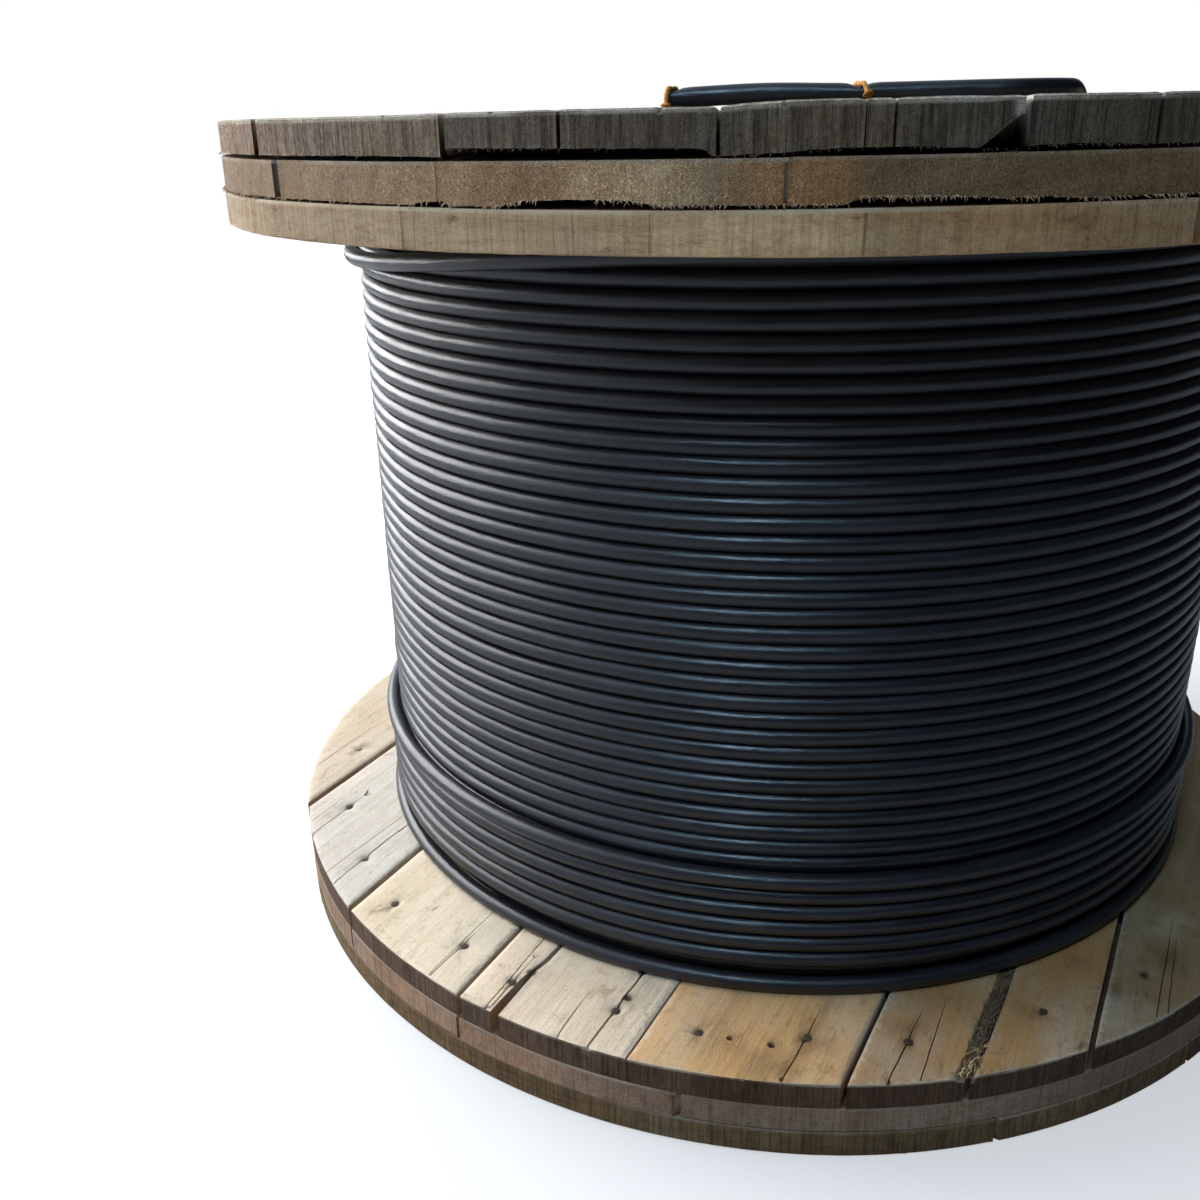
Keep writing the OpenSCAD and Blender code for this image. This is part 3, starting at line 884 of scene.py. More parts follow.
        def ladder(left, right, mat):
            i = j = 0
            while i < len(left) - 1 or j < len(right) - 1:
                go_left = j == len(right) - 1 or (
                    i < len(left) - 1 and verts[left[i + 1]][2] >= verts[right[j + 1]][2])
                if go_left:
                    if i + 1 < len(left) and left[i] != right[j]:
                        faces.append([left[i], left[i + 1], right[j]])
                        mats.append(mat)
                    i += 1
                else:
                    if left[i] != right[j]:
                        faces.append([left[i], right[j + 1], right[j]])
                        mats.append(mat)
                    j += 1

        for a, b, c in border:
            mid = (flat[a] + flat[b]) / 2
            mat = 1 if mid.length > self.rim - RIM_BAND else 2
            ladder(column(a, c), column(b, c), mat)
        for uses in edge_use.values():
            if len(uses) == 2 and uses[0][2] != uses[1][2]:
                for a, b, c in uses:
                    other = uses[0][2] if c == uses[1][2] else uses[1][2]
                    if c[0] < other[0]:
                        p, q, m, n = top_of(a, c), top_of(b, c), top_of(b, other), top_of(a, other)
                        faces.append([p, n, m, q])
                        mats.append(2)
                    if c[1] < other[1]:
                        faces.append([bottom_of(a, c), bottom_of(b, c),
                                      bottom_of(b, other), bottom_of(a, other)])
                        mats.append(2)
        self.finish(verts, info, faces, mats, materials)

    def slip(self, u, v, z):
        """The slanted cable hole moves back as it goes down through the board."""
        if self.slot is None:
            return (0.0, 0.0)
        cu, cv, turn, _, _ = self.slot
        near = 1 - smooth(math.hypot(u - cu, v - cv), 0.028, 0.12)
        run = (z - self.z1) / math.tan(EXIT_SLOPE) * near
        return (math.cos(turn) * run, math.sin(turn) * run)

    def tone(self, x, y):
        """Painted light and shade: boards are made lighter and darker, and warmer and cooler, by different amounts
        round the rim by azimuth, fading out away from it.
        """
        stops = self.looks.get("painted_light_toning")
        if not stops:
            return (1.0, 1.0, 1.0)
        stops = [(-180, (1.0, 1.0, 1.0)), *stops, (180, (1.0, 1.0, 1.0))]
        near_rim = smooth(math.hypot(x, y), FLANGE_R - 0.09, FLANGE_R - 0.02)
        angle = math.atan2(y, x)
        return [1 + near_rim * (at_azimuth([(a, colour[i]) for a, colour in stops], angle) - 1)
                for i in range(3)]

    def finish(self, verts, info, faces, mats, materials):
        world = [(*turned(x, y, self.turn), z) for x, y, z in verts]
        name = self.node.replace("_boards", "_board_") + str(self.k + 4)
        obj = mesh_object(name, world, faces, materials, mats, 40)
        mesh = obj.data
        give(mesh, "grain", [self.grain(x, y, z) for x, y, z in verts])
        tint = self.looks["tints"](self.k)
        colours = []
        for (u, v, _, worn_and_lit), p in zip(info, world):
            # the tint is scaled by the painted light and shade given by azimuth
            tone = self.tone(p[0], p[1])
            for cu, cv, cr in self.chips:
                near = 1 - smooth(math.hypot(u - cu, v - cv), 0.4 * cr, cr)
                worn_and_lit = max(worn_and_lit, near * smooth(p[2], self.z1 - 0.010, self.z1 - 0.006))
            colours.append((*(a * b for a, b in zip(tint, tone)), worn_and_lit))
        give(mesh, "tint", colours, "FLOAT_COLOR")
        give(mesh, "mark", [self.marks(u, v, top) for u, v, top, _ in info])
        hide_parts(self.node)


def lower_inner_looks():
    """The pale face below the winding: bleached at the left, ochre and brown at the right."""
    tints = {3: (0.60, 0.53, 0.43), 2: (0.62, 0.60, 0.57), 1: (0.74, 0.66, 0.53), 0: (0.75, 0.66, 0.54),
             -1: (0.66, 0.42, 0.20), -2: (0.42, 0.255, 0.110), -3: (0.28, 0.20, 0.105)}
    rim = -math.sqrt(FLANGE_R ** 2 - 0.04 ** 2)
    wide = {"points": [(rim - 0.004, 0.0385, 0.0036), (-0.455, 0.0372, 0.0026), (-0.440, 0.036, 0.0012),
                       (-0.425, 0.0335, 0.0016), (-0.36, 0.0305, 0.0012), (-0.30, 0.0300, 0.0001)]}
    torn = {"points": [(-0.402, -0.3025, 0.0014), (-0.36, -0.3075, 0.0012), (-0.30, -0.3095, 0.0012),
                       (-0.2, -0.311, 0.0001)]}
    return {
        "tints": lambda k: tints[k], "slot": "pale_wood", "nails": True, "dense": "top",
        "trims": {2.5: 0.0016, 1.5: 0.0011, 0.5: 0.0003, -0.5: -0.0010, -1.5: 0.0006, -2.5: 0.0006},
        "splits": {0: [wide], -2: [torn]},
        "strips": {-2: [(-0.22, -0.3055, -0.41, -0.3015, 0.0068, 0.0040)]},
        "grooves": {0: [(-0.30, -0.0455, -0.500, -0.0440, 0.0009, 0.010)],
                    1: [(-0.34, 0.108, -0.49, 0.111, 0.0004, 0.003)],
                    2: [(-0.28, 0.262, -0.36, 0.264, 0.0009, 0.003)]},
        "knots": {0: [(-0.4435, 0.0365, 0.005), (-0.4345, -0.0475, 0.0045), (-0.4015, -0.0440, 0.0045)],
                  1: [(-0.386, 0.1085, 0.004)],
                  -1: [(-0.4315, -0.1665, 0.0035), (-0.439, -0.136, 0.003)]},
        "stains": {-3: [(-0.192, -0.419, 0.020, 0.55), (-0.25, -0.385, 0.012, 0.45)],
                   -2: [(-0.365, -0.2535, 0.010, 0.6), (-0.306, -0.331, 0.010, 0.35),
                        (-0.232, -0.3535, 0.012, 0.45)],
                   -1: [(-0.391, -0.1255, 0.016, 0.35), (-0.438, -0.123, 0.026, 0.38),
                        (-0.411, -0.190, 0.020, 0.55), (-0.455, -0.166, 0.022, 0.55),
                        (-0.449, -0.182, 0.018, 0.5), (-0.371, -0.190, 0.016, 0.35)],
                   0: [(-0.42, -0.055, 0.022, 0.25)]},
        "checks": 3, "extra_knots": 0}


def layer_looks():
    """What sets each layer apart; gaps, cupping (metres) and toning, which is painted light and shade, are given
    by azimuth.
    """
    def vary(node, base, spread, warm=0.0):
        def pick(k):
            r = rnd(node, "tint", k)
            f = 1 + r.uniform(-spread, spread)
            w = r.uniform(-warm, warm)
            return (base[0] * f * (1 + w), base[1] * f, base[2] * f * (1 - w))
        return pick
    rim_crack = {"points": [(-0.4775, 0.152, 0.0003), (-0.40, 0.1525, 0.0001)]}
    front_cracks = [{"points": [(-0.5005, -0.0113, 0.0002), (-0.46, -0.0105, 0.0001)]},
                    {"points": [(-0.4995, -0.0262, 0.00016), (-0.47, -0.0270, 0.0001)]}]
    right_crack = {"points": [(-0.473, -0.1669, 0.0004), (-0.40, -0.1675, 0.0001)]}
    return {
        "lower_outer_boards": {
            "tints": vary("lower_outer", (0.33, 0.25, 0.155), 0.15, 0.05), "slot": "weathered_wood",
            "dense": "bottom", "checks": 1, "nails": True},
        "lower_middle_boards": {
            "tints": vary("lower_middle", (0.38, 0.275, 0.21), 0.12, 0.06), "slot": "rim_wood",
            "gaps": [(0, 0.0007)],
            # toning: painted light and shade by azimuth, lighter where light falls stronger, darker where it falls
            # weaker
            "painted_light_toning": [(-110, (1.3, 1.2, 1.1)), (-96, (1.0, 1.0, 1.0)), (-85, (1.15, 1.2, 1.25))]},
        "lower_inner_boards": lower_inner_looks(),
        "upper_inner_boards": {
            "tints": vary("upper_inner", (0.40, 0.305, 0.195), 0.05, 0.03), "slot": "rim_wood",
            "dense": "bottom", "checks": 1, "nails": True,
            # toning: painted light and shade by azimuth, lighter where light falls stronger, darker where it falls
            # weaker
            "painted_light_toning": [(-130, (1.0, 1.0, 1.0)), (-102, (1.3, 1.25, 1.15)), (-95, (1.75, 1.65, 1.5)),
                       (-88, (1.7, 1.6, 1.4)), (-84, (1.2, 1.1, 0.9)), (-78, (1.3, 1.1, 0.9)),
                       (-70, (1.05, 0.9, 0.75))]},
        "upper_middle_boards": {
            "tints": vary("upper_middle", (0.40, 0.30, 0.20), 0.05, 0.03), "slot": "rim_wood",
            "trims": {-1.5: 0.0001, -2.5: -0.0010},
            "rims": {-3: 0.0002, -2: 0.0, -1: 0.0022, 0: 0.0004},
            "pace": 0.0022, "ragged": 0.0005,
            "gaps": [(-125, 0.0012), (-117, 0.0006), (-116, 0.0031), (-113.9, 0.0032), (-113.4, 0.0005),
                     (-109.5, 0.0007), (-108, 0.0035), (-104, 0.0050), (-100, 0.0044), (-98.5, 0.0020),
                     (-86.6, 0.0016), (-86, 0.0054), (-80, 0.0046), (-77, 0.0030), (-74, 0.0032),
                     (-72, 0.0016), (0, 0.0019)],
            # toning: painted light and shade by azimuth, lighter where light falls stronger, darker where it falls
            # weaker
            "painted_light_toning": [(-130, (1.25, 1.18, 1.1)), (-114, (1.6, 1.45, 1.3)), (-105.5, (1.55, 1.35, 1.15)),
                       (-103, (2.5, 2.45, 2.3)), (-98, (2.3, 2.25, 2.1)), (-95, (1.35, 1.3, 1.2)),
                       (-92.2, (1.5, 1.25, 1.0)), (-91.4, (1.65, 1.2, 0.8)), (-87, (1.4, 1.05, 0.7)),
                       (-85, (0.85, 0.8, 0.62)), (-70, (0.95, 0.88, 0.7))]},
        "upper_outer_boards": {
            "tints": vary("upper_outer", (0.21, 0.185, 0.155), 0.06, 0.02), "slot": "weathered_wood",
            "dense": "top", "nails": True, "checks": 4, "extra_knots": 2,
            "trims": {2.5: 0.0010, 1.5: 0.0001, 0.5: -0.0006, -0.5: 0.0},
            "pace": 0.0022, "ragged": 0.0004,
            "splits": {1: [rim_crack], 0: front_cracks, -1: [right_crack]},
            "chips": {0: [(-0.4895, -0.0905, 0.0055)]},
            "gaps": [(-125, 0.0022), (-116, 0.0016), (-113.8, 0.0014), (-113.4, 0.0058), (-105, 0.0054),
                     (-95.2, 0.0049), (-94.9, 0.0003), (-92, 0.0009), (-90, 0.0016), (-87, 0.0030),
                     (-85, 0.0033), (-81, 0.0027), (-78, 0.0013), (-76, 0.0014), (-75, 0.0025),
                     (-72, 0.0027), (-69, 0.0017), (0, 0.0022)],
            "cupped": [(-94.4, 0.0), (-92.5, 0.0014), (-90, 0.0020), (-66, 0.0019), (-50, 0.0)],
            # toning: painted light and shade by azimuth, lighter where light falls stronger, darker where it falls
            # weaker
            "painted_light_toning": [(-160, (1.7, 1.25, 0.85)), (-150, (1.7, 1.25, 0.85)),
                       (-127, (1.45, 1.25, 1.1)), (-114, (1.65, 1.5, 1.35)),
                       (-113.3, (0.95, 0.9, 0.82)), (-95, (0.80, 0.74, 0.66)), (-85, (0.88, 0.82, 0.68)),
                       (-80, (0.66, 0.63, 0.56)), (-70, (0.62, 0.60, 0.54))],
            "bites": {0: [(-1, -0.0925, 0.024, 0.019)]}},
    }


def build_flanges():
    joint = wood("joint_wood", weather=0.05, dirt=0.5, fibre=0.4, figure=0.6, shade=(0.42, 0.33, 0.24))
    warm_joint = wood("pale_joint_wood", 0.05, 0.4, 0.4, shade=(0.55, 0.40, 0.28))
    dark_joint = wood("dark_joint_wood", 0.05, 0.7, 0.4, shade=(0.13, 0.10, 0.075))
    dark = (0.10, 0.085, 0.072)
    finishes = {
        "lower_outer_boards": (
            wood("underside", 0.3, 0.5, 0.5),
            wood("lower_outer_rim", 0.2, 0.5, 0.5, 0.7, shade=(0.68, 0.60, 0.46), pale=(0.3, 0.25, 0.2),
                 cuts=0.4), joint),
        "lower_middle_boards": (
            joint, wood("lower_middle_rim", 0.3, 0.4, 0.4, 0.4, fuzz=0.2, pale=(0.35, 0.3, 0.24),
                        cuts=0.3, grit=0.5), joint),
        "lower_inner_boards": (
            wood("pale_face", 0.35, 0.10, 0.22, grey=(0.56, 0.55, 0.49), soil=(0.13, 0.095, 0.06),
                 figure=0.22, grit=0.75),
            wood("lower_inner_rim", 0.3, 0.45, 0.45, 0.8, grey=dark, shade=(0.30, 0.24, 0.20), fuzz=0.15,
                 pale=(0.60, 0.53, 0.42), cuts=0.4, base=(0.125, 0.074, 0.047)), warm_joint),
        "upper_inner_boards": (
            wood("upper_inner_face", 0.2, 0.3, 0.4),
            wood("upper_inner_rim", 0.12, 0.3, 0.35, 0.35, pale=(0.50, 0.42, 0.30), cuts=0.6, grit=0.9),
            joint),
        "upper_middle_boards": (
            joint, wood("upper_middle_rim", 0.15, 0.30, 0.2, 0.25, fuzz=1.0, grey=(0.2, 0.17, 0.14),
                        pale=(0.5, 0.42, 0.32)), dark_joint),
        "upper_outer_boards": (
            wood("weathered_top", 0.55, 0.4, 0.6, grey=(0.24, 0.23, 0.21), grain_bump=0.8, grit=0.4),
            wood("upper_outer_rim", 0.3, 0.4, 0.5, 1.0, grey=(0.12, 0.112, 0.10), fuzz=0.25,
                 pale=(0.50, 0.46, 0.38), cuts=0.7), joint),
    }
    looks = layer_looks()
    for node in LAYERS:
        for k in board_numbers(node):
            Board(node, k, looks[node]).build(finishes[node])


# ---------------------------------------------------------------- cable

def section(sides):
    """Angles round a cable, closer together on its outer side (angle 0 is outward)."""
    outer = [math.radians(-100 + 200 * i / (sides - 5)) for i in range(sides - 4)]
    inner = [math.radians(100 + 160 * (i + 1) / 5) for i in range(4)]
    return outer + inner


def helix(name, centre, start, end, steps_per_turn, material, sides=14, radius=CABLE_R):
    """A tube that winds round the drum. centre(t) gives radius and height at angle t."""
    n = int((end - start) / math.tau * steps_per_turn)
    angles = section(sides)
    verts, grain = [], []
    for i in range(n + 1):
        t = start + (end - start) * i / n
        r, z = centre(t)
        c, s = math.cos(t), math.sin(t)
        thick = radius * (1 + 0.012 * wander(t * 3, z * 20))
        for a in angles:
            out = r + thick * math.cos(a)
            verts.append((out * c, out * s, z + thick * math.sin(a)))
            grain.append((t * MAIN_R, a * CABLE_R, 0.0))
    m = len(angles)
    faces = []
    for i in range(n):
        for j in range(m):
            a, b = i * m + j, i * m + (j + 1) % m
            faces.append((a, a + m, b + m, b))
    faces.append(tuple(range(m)))
    faces.append(tuple(n * m + j for j in reversed(range(m))))
    obj = mesh_object(name, verts, faces, [material], sharp=60)
    give(obj.data, "grain", grain)
    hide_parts("cable_winding")
    return obj


def main_layer(t):
    """The last full layer of turns: t runs from 0 at the lower flange."""
    turn = t / math.tau
    z = LOWER_T + TURN_PITCH * turn + CABLE_R
    z = min(z, Z_UPPER - CABLE_R - 0.0002)
    z += 0.0009 * wander(t * 0.9, turn * 0.3) + 0.0004 * wander(t * 4.5, 11.0)
    r = MAIN_R + 0.0009 * wander(t * 1.3, 7.0) + 0.0004 * wander(t * 5.0, 31.0)
    return r, z + 0.00015 * wander(t * 11, 3.0)


def over_layer(t):
    """The layer that was started on top of it: its first turn lies apart from the others."""
    turn = t / math.tau
    z = LOWER_T + CABLE_R + 0.0085 * smooth(turn, 0.75, 1.45) + 0.0146 * max(0.0, turn - 0.75)
    z += 0.0006 * wander(t * 0.8, 3.0) + 0.0003 * wander(t * 4.0, 17.0)
    out = OVER_RISE + 0.0035 * (1 - smooth(turn, 0.75, 1.2)) + 0.0035 * smooth(turn, 5.9, 6.3)
    out *= smooth(turn, 0.0, 0.13) * (1 - smooth(turn, OVER_TURNS - 0.08, OVER_TURNS + 0.1))
    r = MAIN_R + out + 0.0011 * wander(t * 1.1, 21.0) + 0.0004 * wander(t * 4.0, 41.0)
    return r, z


def last_turn(t):
    """The last turn of all, over the top of the full layer and just under the upper flange."""
    turn = t / math.tau
    low = 1 - smooth(turn, 0.56, 0.74)
    z = Z_UPPER - CABLE_R - 0.0006 - 0.0235 * low
    r = MAIN_R + LAST_RISE * smooth(turn, 0.10, 0.30) * (1 - smooth(turn, 0.95, 1.10))
    return r + 0.0005 * wander(t * 1.4, 5.0), z


def winding_core(material):
    """The layers below, as one closed ring with a scalloped outside."""
    inner = CORE_BORE
    rows = [(inner, LOWER_T), (MAIN_R - CORE_SINK, LOWER_T)]
    n = TURNS * 2
    for i in range(1, n):
        z = LOWER_T + (Z_UPPER - LOWER_T) * i / n
        rows.append((MAIN_R - CORE_SINK - (SCALLOP if i % 2 == 0 else 0.0), z))
    rows += [(MAIN_R - CORE_SINK, Z_UPPER), (inner, Z_UPPER)]
    steps = 180
    verts, faces, grain = [], [], []
    for i in range(steps):
        a = math.tau * i / steps
        for r, z in rows:
            verts.append((r * math.cos(a), r * math.sin(a), z))
            grain.append((a * r, z, 0.0))
    m = len(rows)
    for i in range(steps):
        for j in range(m):
            a, b = i * m + j, i * m + (j + 1) % m
            c, d = ((i + 1) % steps) * m + (j + 1) % m, ((i + 1) % steps) * m + j
            faces.append((a, d, c, b))
    obj = mesh_object("winding_core", verts, faces, [material], sharp=30)
    give(obj.data, "grain", grain)
    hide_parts("cable_winding")


def tube(name, points, radii, sides, material, squash=None):
    """A closed tube along points, with its own radius at each, and optional flattening."""
    verts, grain, run = [], [], 0.0
    n = len(points)
    for i, p in enumerate(points):
        d = (points[min(i + 1, n - 1)] - points[max(i - 1, 0)]).normalized()
        side = d.cross(Vector((0, 0, 1)))
        if side.length < 0.1:
            side = d.cross(Vector((0, 1, 0)))
        if i and side.dot(before) < 0:
            side.negate()
        before = side
        side.normalize()
        high = side.cross(d)
        run += (p - points[max(i - 1, 0)]).length
        flat = squash[i] if squash else 0.0
        for j in range(sides):
            a = math.tau * j / sides
            x, y = math.cos(a) * radii[i] * (1 + 0.4 * flat), math.sin(a) * radii[i]
            y -= flat * radii[i] * 1.6 * max(0.0, math.sin(a)) ** 2
            verts.append(tuple(p + side * x + high * y))
            grain.append((run, a * radii[i], 0.0))
    obj = mesh_object(name, verts, loft(n, sides), [material], sharp=50)
    give(obj.data, "grain", grain)
    return obj


def along(h):
    return Vector((math.cos(h), math.sin(h), 0.0))


def end_route():
    """The cable end's centre line: up the slanted hole, over its lip, round and flat."""
    heading = EXIT_AZ - math.pi / 2
    start = Vector((EXIT_R * math.cos(EXIT_AZ), EXIT_R * math.sin(EXIT_AZ), Z_UPPER))
    drop = END_BEND_R * (1 - math.cos(EXIT_SLOPE))
    climb = DRUM_H - Z_UPPER + LIE - drop
    top = start + climb / math.tan(EXIT_SLOPE) * along(heading) + Vector((0, 0, climb))
    points = [start + (top - start) * i / 12 for i in range(12)]
    for i in range(9):
        a = EXIT_SLOPE * (1 - i / 9)
        points.append(top + END_BEND_R * (math.sin(EXIT_SLOPE) - math.sin(a)) * along(heading)
                      + Vector((0, 0, END_BEND_R * (math.cos(a) - math.cos(EXIT_SLOPE)))))
    flat = top + END_BEND_R * math.sin(EXIT_SLOPE) * along(heading) + Vector((0, 0, drop))
    centre = flat + END_BEND_R * along(heading - math.pi / 2)
    for i in range(12):
        h = heading + (-math.pi - heading) * i / 12
        points.append(centre + END_BEND_R * along(h + math.pi / 2))
    lying = centre + END_BEND_R * along(-math.pi / 2)
    for i in range(41):
        f = i / 40
        beyond = max(0.0, (f - NAILS[0][0]) / (1 - NAILS[0][0]))
        hump = 0.0015 * math.sin(math.pi * beyond) ** 2
        points.append(lying + END_LENGTH * f * along(math.pi) + Vector((0, 0, hump)))
    return points, lying


def build_cable(material):
    half = TURNS / 2 * math.tau
    helix("cable_turns_lower", main_layer, 0.0, half, 160, material)
    helix("cable_turns_upper", main_layer, half, (TURNS - 1) * math.tau, 160, material)
    helix("cable_turns_over", over_layer, 0.0, (OVER_TURNS + 0.1) * math.tau, 160, material)
    helix("cable_turn_last", last_turn, 0.12 * math.tau, 1.08 * math.tau, 200, material, 18)
    winding_core(material)
    points, lying = end_route()
    squash = []
    for p in points:
        pinch = 0.0
        for place, _ in NAILS:
            d = (p - (lying + END_LENGTH * place * along(math.pi))).length
            pinch = max(pinch, math.exp(-(d / 0.006) ** 2))
        squash.append(0.24 * pinch)
    radii = [CABLE_R] * (len(points) - 2) + [0.985 * CABLE_R, 0.90 * CABLE_R]
    end = tube("cable_end_tail", points, radii, 24, material, squash)
    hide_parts("cable_end")
    return lying


# ---------------------------------------------------------------- nails and splinters

def clamp_nail(number, place, turn, lying, material):
    """A rusty nail driven in behind the cable end and hammered over it and down in front."""
    r = rnd("clamp", number)
    origin = lying + END_LENGTH * place * along(math.pi) - Vector((0, 0, LIE))
    c, s = math.cos(math.radians(turn)), math.sin(math.radians(turn))
    seat = CABLE_R + NAIL_D / 2 + 0.0009
    top = LIE + CABLE_R - 0.0006
    bend = 0.005
    fold = math.radians(50 if number == 1 else 80)
    shape = [(seat, -0.019), (seat, -0.008), (seat, 0.0), (seat, (top - bend) * 0.6), (seat, top - bend)]
    shape += [(seat - bend * (1 - math.cos(a)), top - bend + bend * math.sin(a))
              for a in (math.radians(d) for d in (22, 45, 68, 90))]
    shape += [(0.002, top - 0.0002), (-0.001, top - 0.0003), (-0.0035, top - 0.0001)]
    shape += [(-0.0045 - bend * math.sin(fold * f), top - bend * (1 - math.cos(fold * f)))
              for f in (0.25, 0.5, 0.75, 1.0)]
    y, z = shape[-1]
    shape.append((y - 0.0065 * math.cos(fold), z - 0.0065 * math.sin(fold)))
    points = []
    for y, z in shape:
        sway = r.uniform(-0.0003, 0.0003)
        points.append(origin + Vector((c * sway - s * y, s * sway + c * y, z)))
    radii = [NAIL_D / 2 * (1 + r.uniform(-0.07, 0.07)) for _ in points]
    radii[0] *= 0.4
    shank = tube(f"clamp_nail_{number}_shank", points, radii, 14, material)
    direction = (points[-1] - points[-2]).normalized()
    tip = points[-1]
    side = direction.cross(Vector((0, 0, 1))).normalized()
    high = side.cross(direction)
    rings = [(-0.0012, 0.4), (-0.0004, 0.8), (0.0002, 1.0), (0.0009, 1.0), (0.0013, 0.86), (0.0015, 0.4)]
    verts = []
    for ahead, f in rings:
        for j in range(20):
            a = math.tau * j / 20
            radius = CLAMP_HEAD_R * f * (1 + 0.06 * wander(math.cos(a) * 2, math.sin(a) * 2, number))
            verts.append(tuple(tip + direction * ahead + side * radius * math.cos(a)
                               + high * radius * math.sin(a)))
    faces = []
    for i in range(len(rings) - 1):
        for j in range(20):
            a, b = i * 20 + j, i * 20 + (j + 1) % 20
            faces.append((a, a + 20, b + 20, b))
    faces.append(tuple(range(20)))
    faces.append(tuple(len(verts) - 20 + j for j in reversed(range(20))))
    head = mesh_object(f"clamp_nail_{number}_head", verts, faces, [material])
    for obj in (shank, head):
        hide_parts("clamp_nails")


def nail_heads(node, face, material):
    """The heads of the flange nails, sunk a little into the face, as one piece."""
    direction, shift, pitch = LAYERS[node]
    last = math.floor((FLANGE_R - 0.020 - abs(shift)) / pitch + 0.5)
    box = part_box(node)
    z = box[1].z - 0.0022 if face > 0 else box[0].z + 0.0022
    turn = math.radians(direction)
    verts, faces = [], []
    for k in range(-last, last + 1):
        lo = -1.0 if k == -last else shift + (k - 0.5) * pitch
        hi = 1.0 if k == last else shift + (k + 0.5) * pitch
        for u, v in nail_places(node, k, lo, hi):
            x = math.cos(turn) * u - math.sin(turn) * v
            y = math.sin(turn) * u + math.cos(turn) * v
            start = len(verts)
            lean = rnd(node, k, u).uniform(-0.08, 0.08)
            for height, radius in ((-0.006, 0.0014), (-0.0004, 0.0016), (0.0, 0.0034), (0.0008, 0.0035), (0.0011, 0.0026)):
                for j in range(14):
                    a = math.tau * j / 14
                    dx = radius * math.cos(a)
                    verts.append((x + dx, y + radius * math.sin(a), z + face * (height + lean * dx)))
            for i in range(4):
                for j in range(14):
                    a, b = start + i * 14 + j, start + i * 14 + (j + 1) % 14
                    faces.append((a, b, b + 14, a + 14) if face > 0 else (a, a + 14, b + 14, b))
            low, high = range(start, start + 14), range(start + 56, start + 70)
            faces.append(tuple(reversed(low)) if face > 0 else tuple(low))
            faces.append(tuple(high) if face > 0 else tuple(reversed(high)))
    obj = mesh_object("nails_" + node.replace("_boards", ""), verts, faces, [material])


def splinters(name, places, material, tint):
    """Torn fibres: thin closed spikes, each with a place, direction, length and thickness."""
    verts, faces, grain = [], [], []
    for p, d, length, thick in places:
        side = d.cross(Vector((0.3, 0.2, 1))).normalized()
        high = side.cross(d).normalized()
        start = len(verts)
        for j in range(3):
            a = math.tau * j / 3
            verts.append(tuple(p + thick * (math.cos(a) * side + math.sin(a) * high)))
        bent = p + d * length * 0.5 + side * length * 0.12
        for j in range(3):
            a = math.tau * j / 3
            verts.append(tuple(bent + 0.7 * thick * (math.cos(a) * side + math.sin(a) * high)))
        verts.append(tuple(p + d * length))
        s = start
        faces.append((s, s + 1, s + 2))
        for j in range(3):
            k = (j + 1) % 3
            faces.append((s + j, s + 3 + j, s + 3 + k, s + k))
            faces.append((s + 3 + j, s + 6, s + 3 + k))
        grain += [(p.x, p.y, p.z)] * 7
    obj = mesh_object(name, verts, faces, [material])
    give(obj.data, "grain", grain)
    give(obj.data, "tint", [(*tint, 0.0)] * len(verts), "FLOAT_COLOR")
    give(obj.data, "mark", [(0.0, 0.0, 0.0)] * len(verts))


def rim_fibres(node, edge_z, down, count, longest, stout, crowd):
    """Fibres that hang from, or stand out of, a sawn edge of the rim; crowd gives how many of
    them stay, by azimuth."""
    r = rnd(node, "fibres")
    gaps = layer_looks()[node].get("gaps", [(0, 0.0)])
    places = []
    for _ in range(count):
        a = r.uniform(0, math.tau)
        clump = 0.5 + 0.9 * wander(a * 14, edge_z * 50, 2)
        if r.random() > clump * at_azimuth(crowd, a):
            continue
        out = along(a)
        across = along(a + math.pi / 2)
        lift = at_azimuth(gaps, a) if down else 0.0
        p = out * (FLANGE_R - r.uniform(0.0003, 0.0022)) + Vector((0, 0, edge_z + lift))
        d = out * r.uniform(0.15, 0.75) + across * r.uniform(-0.8, 0.8)
        d += Vector((0, 0, -1 if down else 1)) * r.uniform(0.3, 1.0)
        size = r.uniform(0.3, 1.0) ** 2
        places.append((p, d.normalized(), size * longest, stout * r.uniform(0.4, 1.0)))
    return places


def strip_fibres():
    """Bark fibres that lie along the torn strip of the pale face, and pale ones at its end."""
    r = rnd("strip")
    looks = lower_inner_looks()
    u0, v0, u1, v1, half, depth = looks["strips"][-2][0]
    turn = math.radians(LAYERS["lower_inner_boards"][0])
    bark, pale = [], []
    for _ in range(420):
        f = r.uniform(0.0, 1.0)
        u = u0 + (u1 - u0) * f
        v = v0 + (v1 - v0) * f + r.uniform(-0.8, 0.8) * half
        heading = turn + (math.pi if r.random() < 0.5 else 0.0) + r.gauss(0.0, 0.35)
        d = along(heading) + Vector((0, 0, r.uniform(-0.05, 0.16)))
        x, y = math.cos(turn) * u - math.sin(turn) * v, math.sin(turn) * u + math.cos(turn) * v
        if math.hypot(x, y) > FLANGE_R - 0.006 or math.hypot(x, y) < MAIN_R:
            continue
        p = Vector((x, y, LOWER_T - depth * r.uniform(0.35, 0.9)))
        near_rim = math.hypot(x, y) > FLANGE_R - 0.03
        heap = pale if near_rim and r.random() < 0.7 else bark
        heap.append((p, d.normalized(), r.uniform(0.004, 0.015) * (0.6 if heap is pale else 1.0),
                     r.uniform(0.0003, 0.0009)))
    return bark, pale


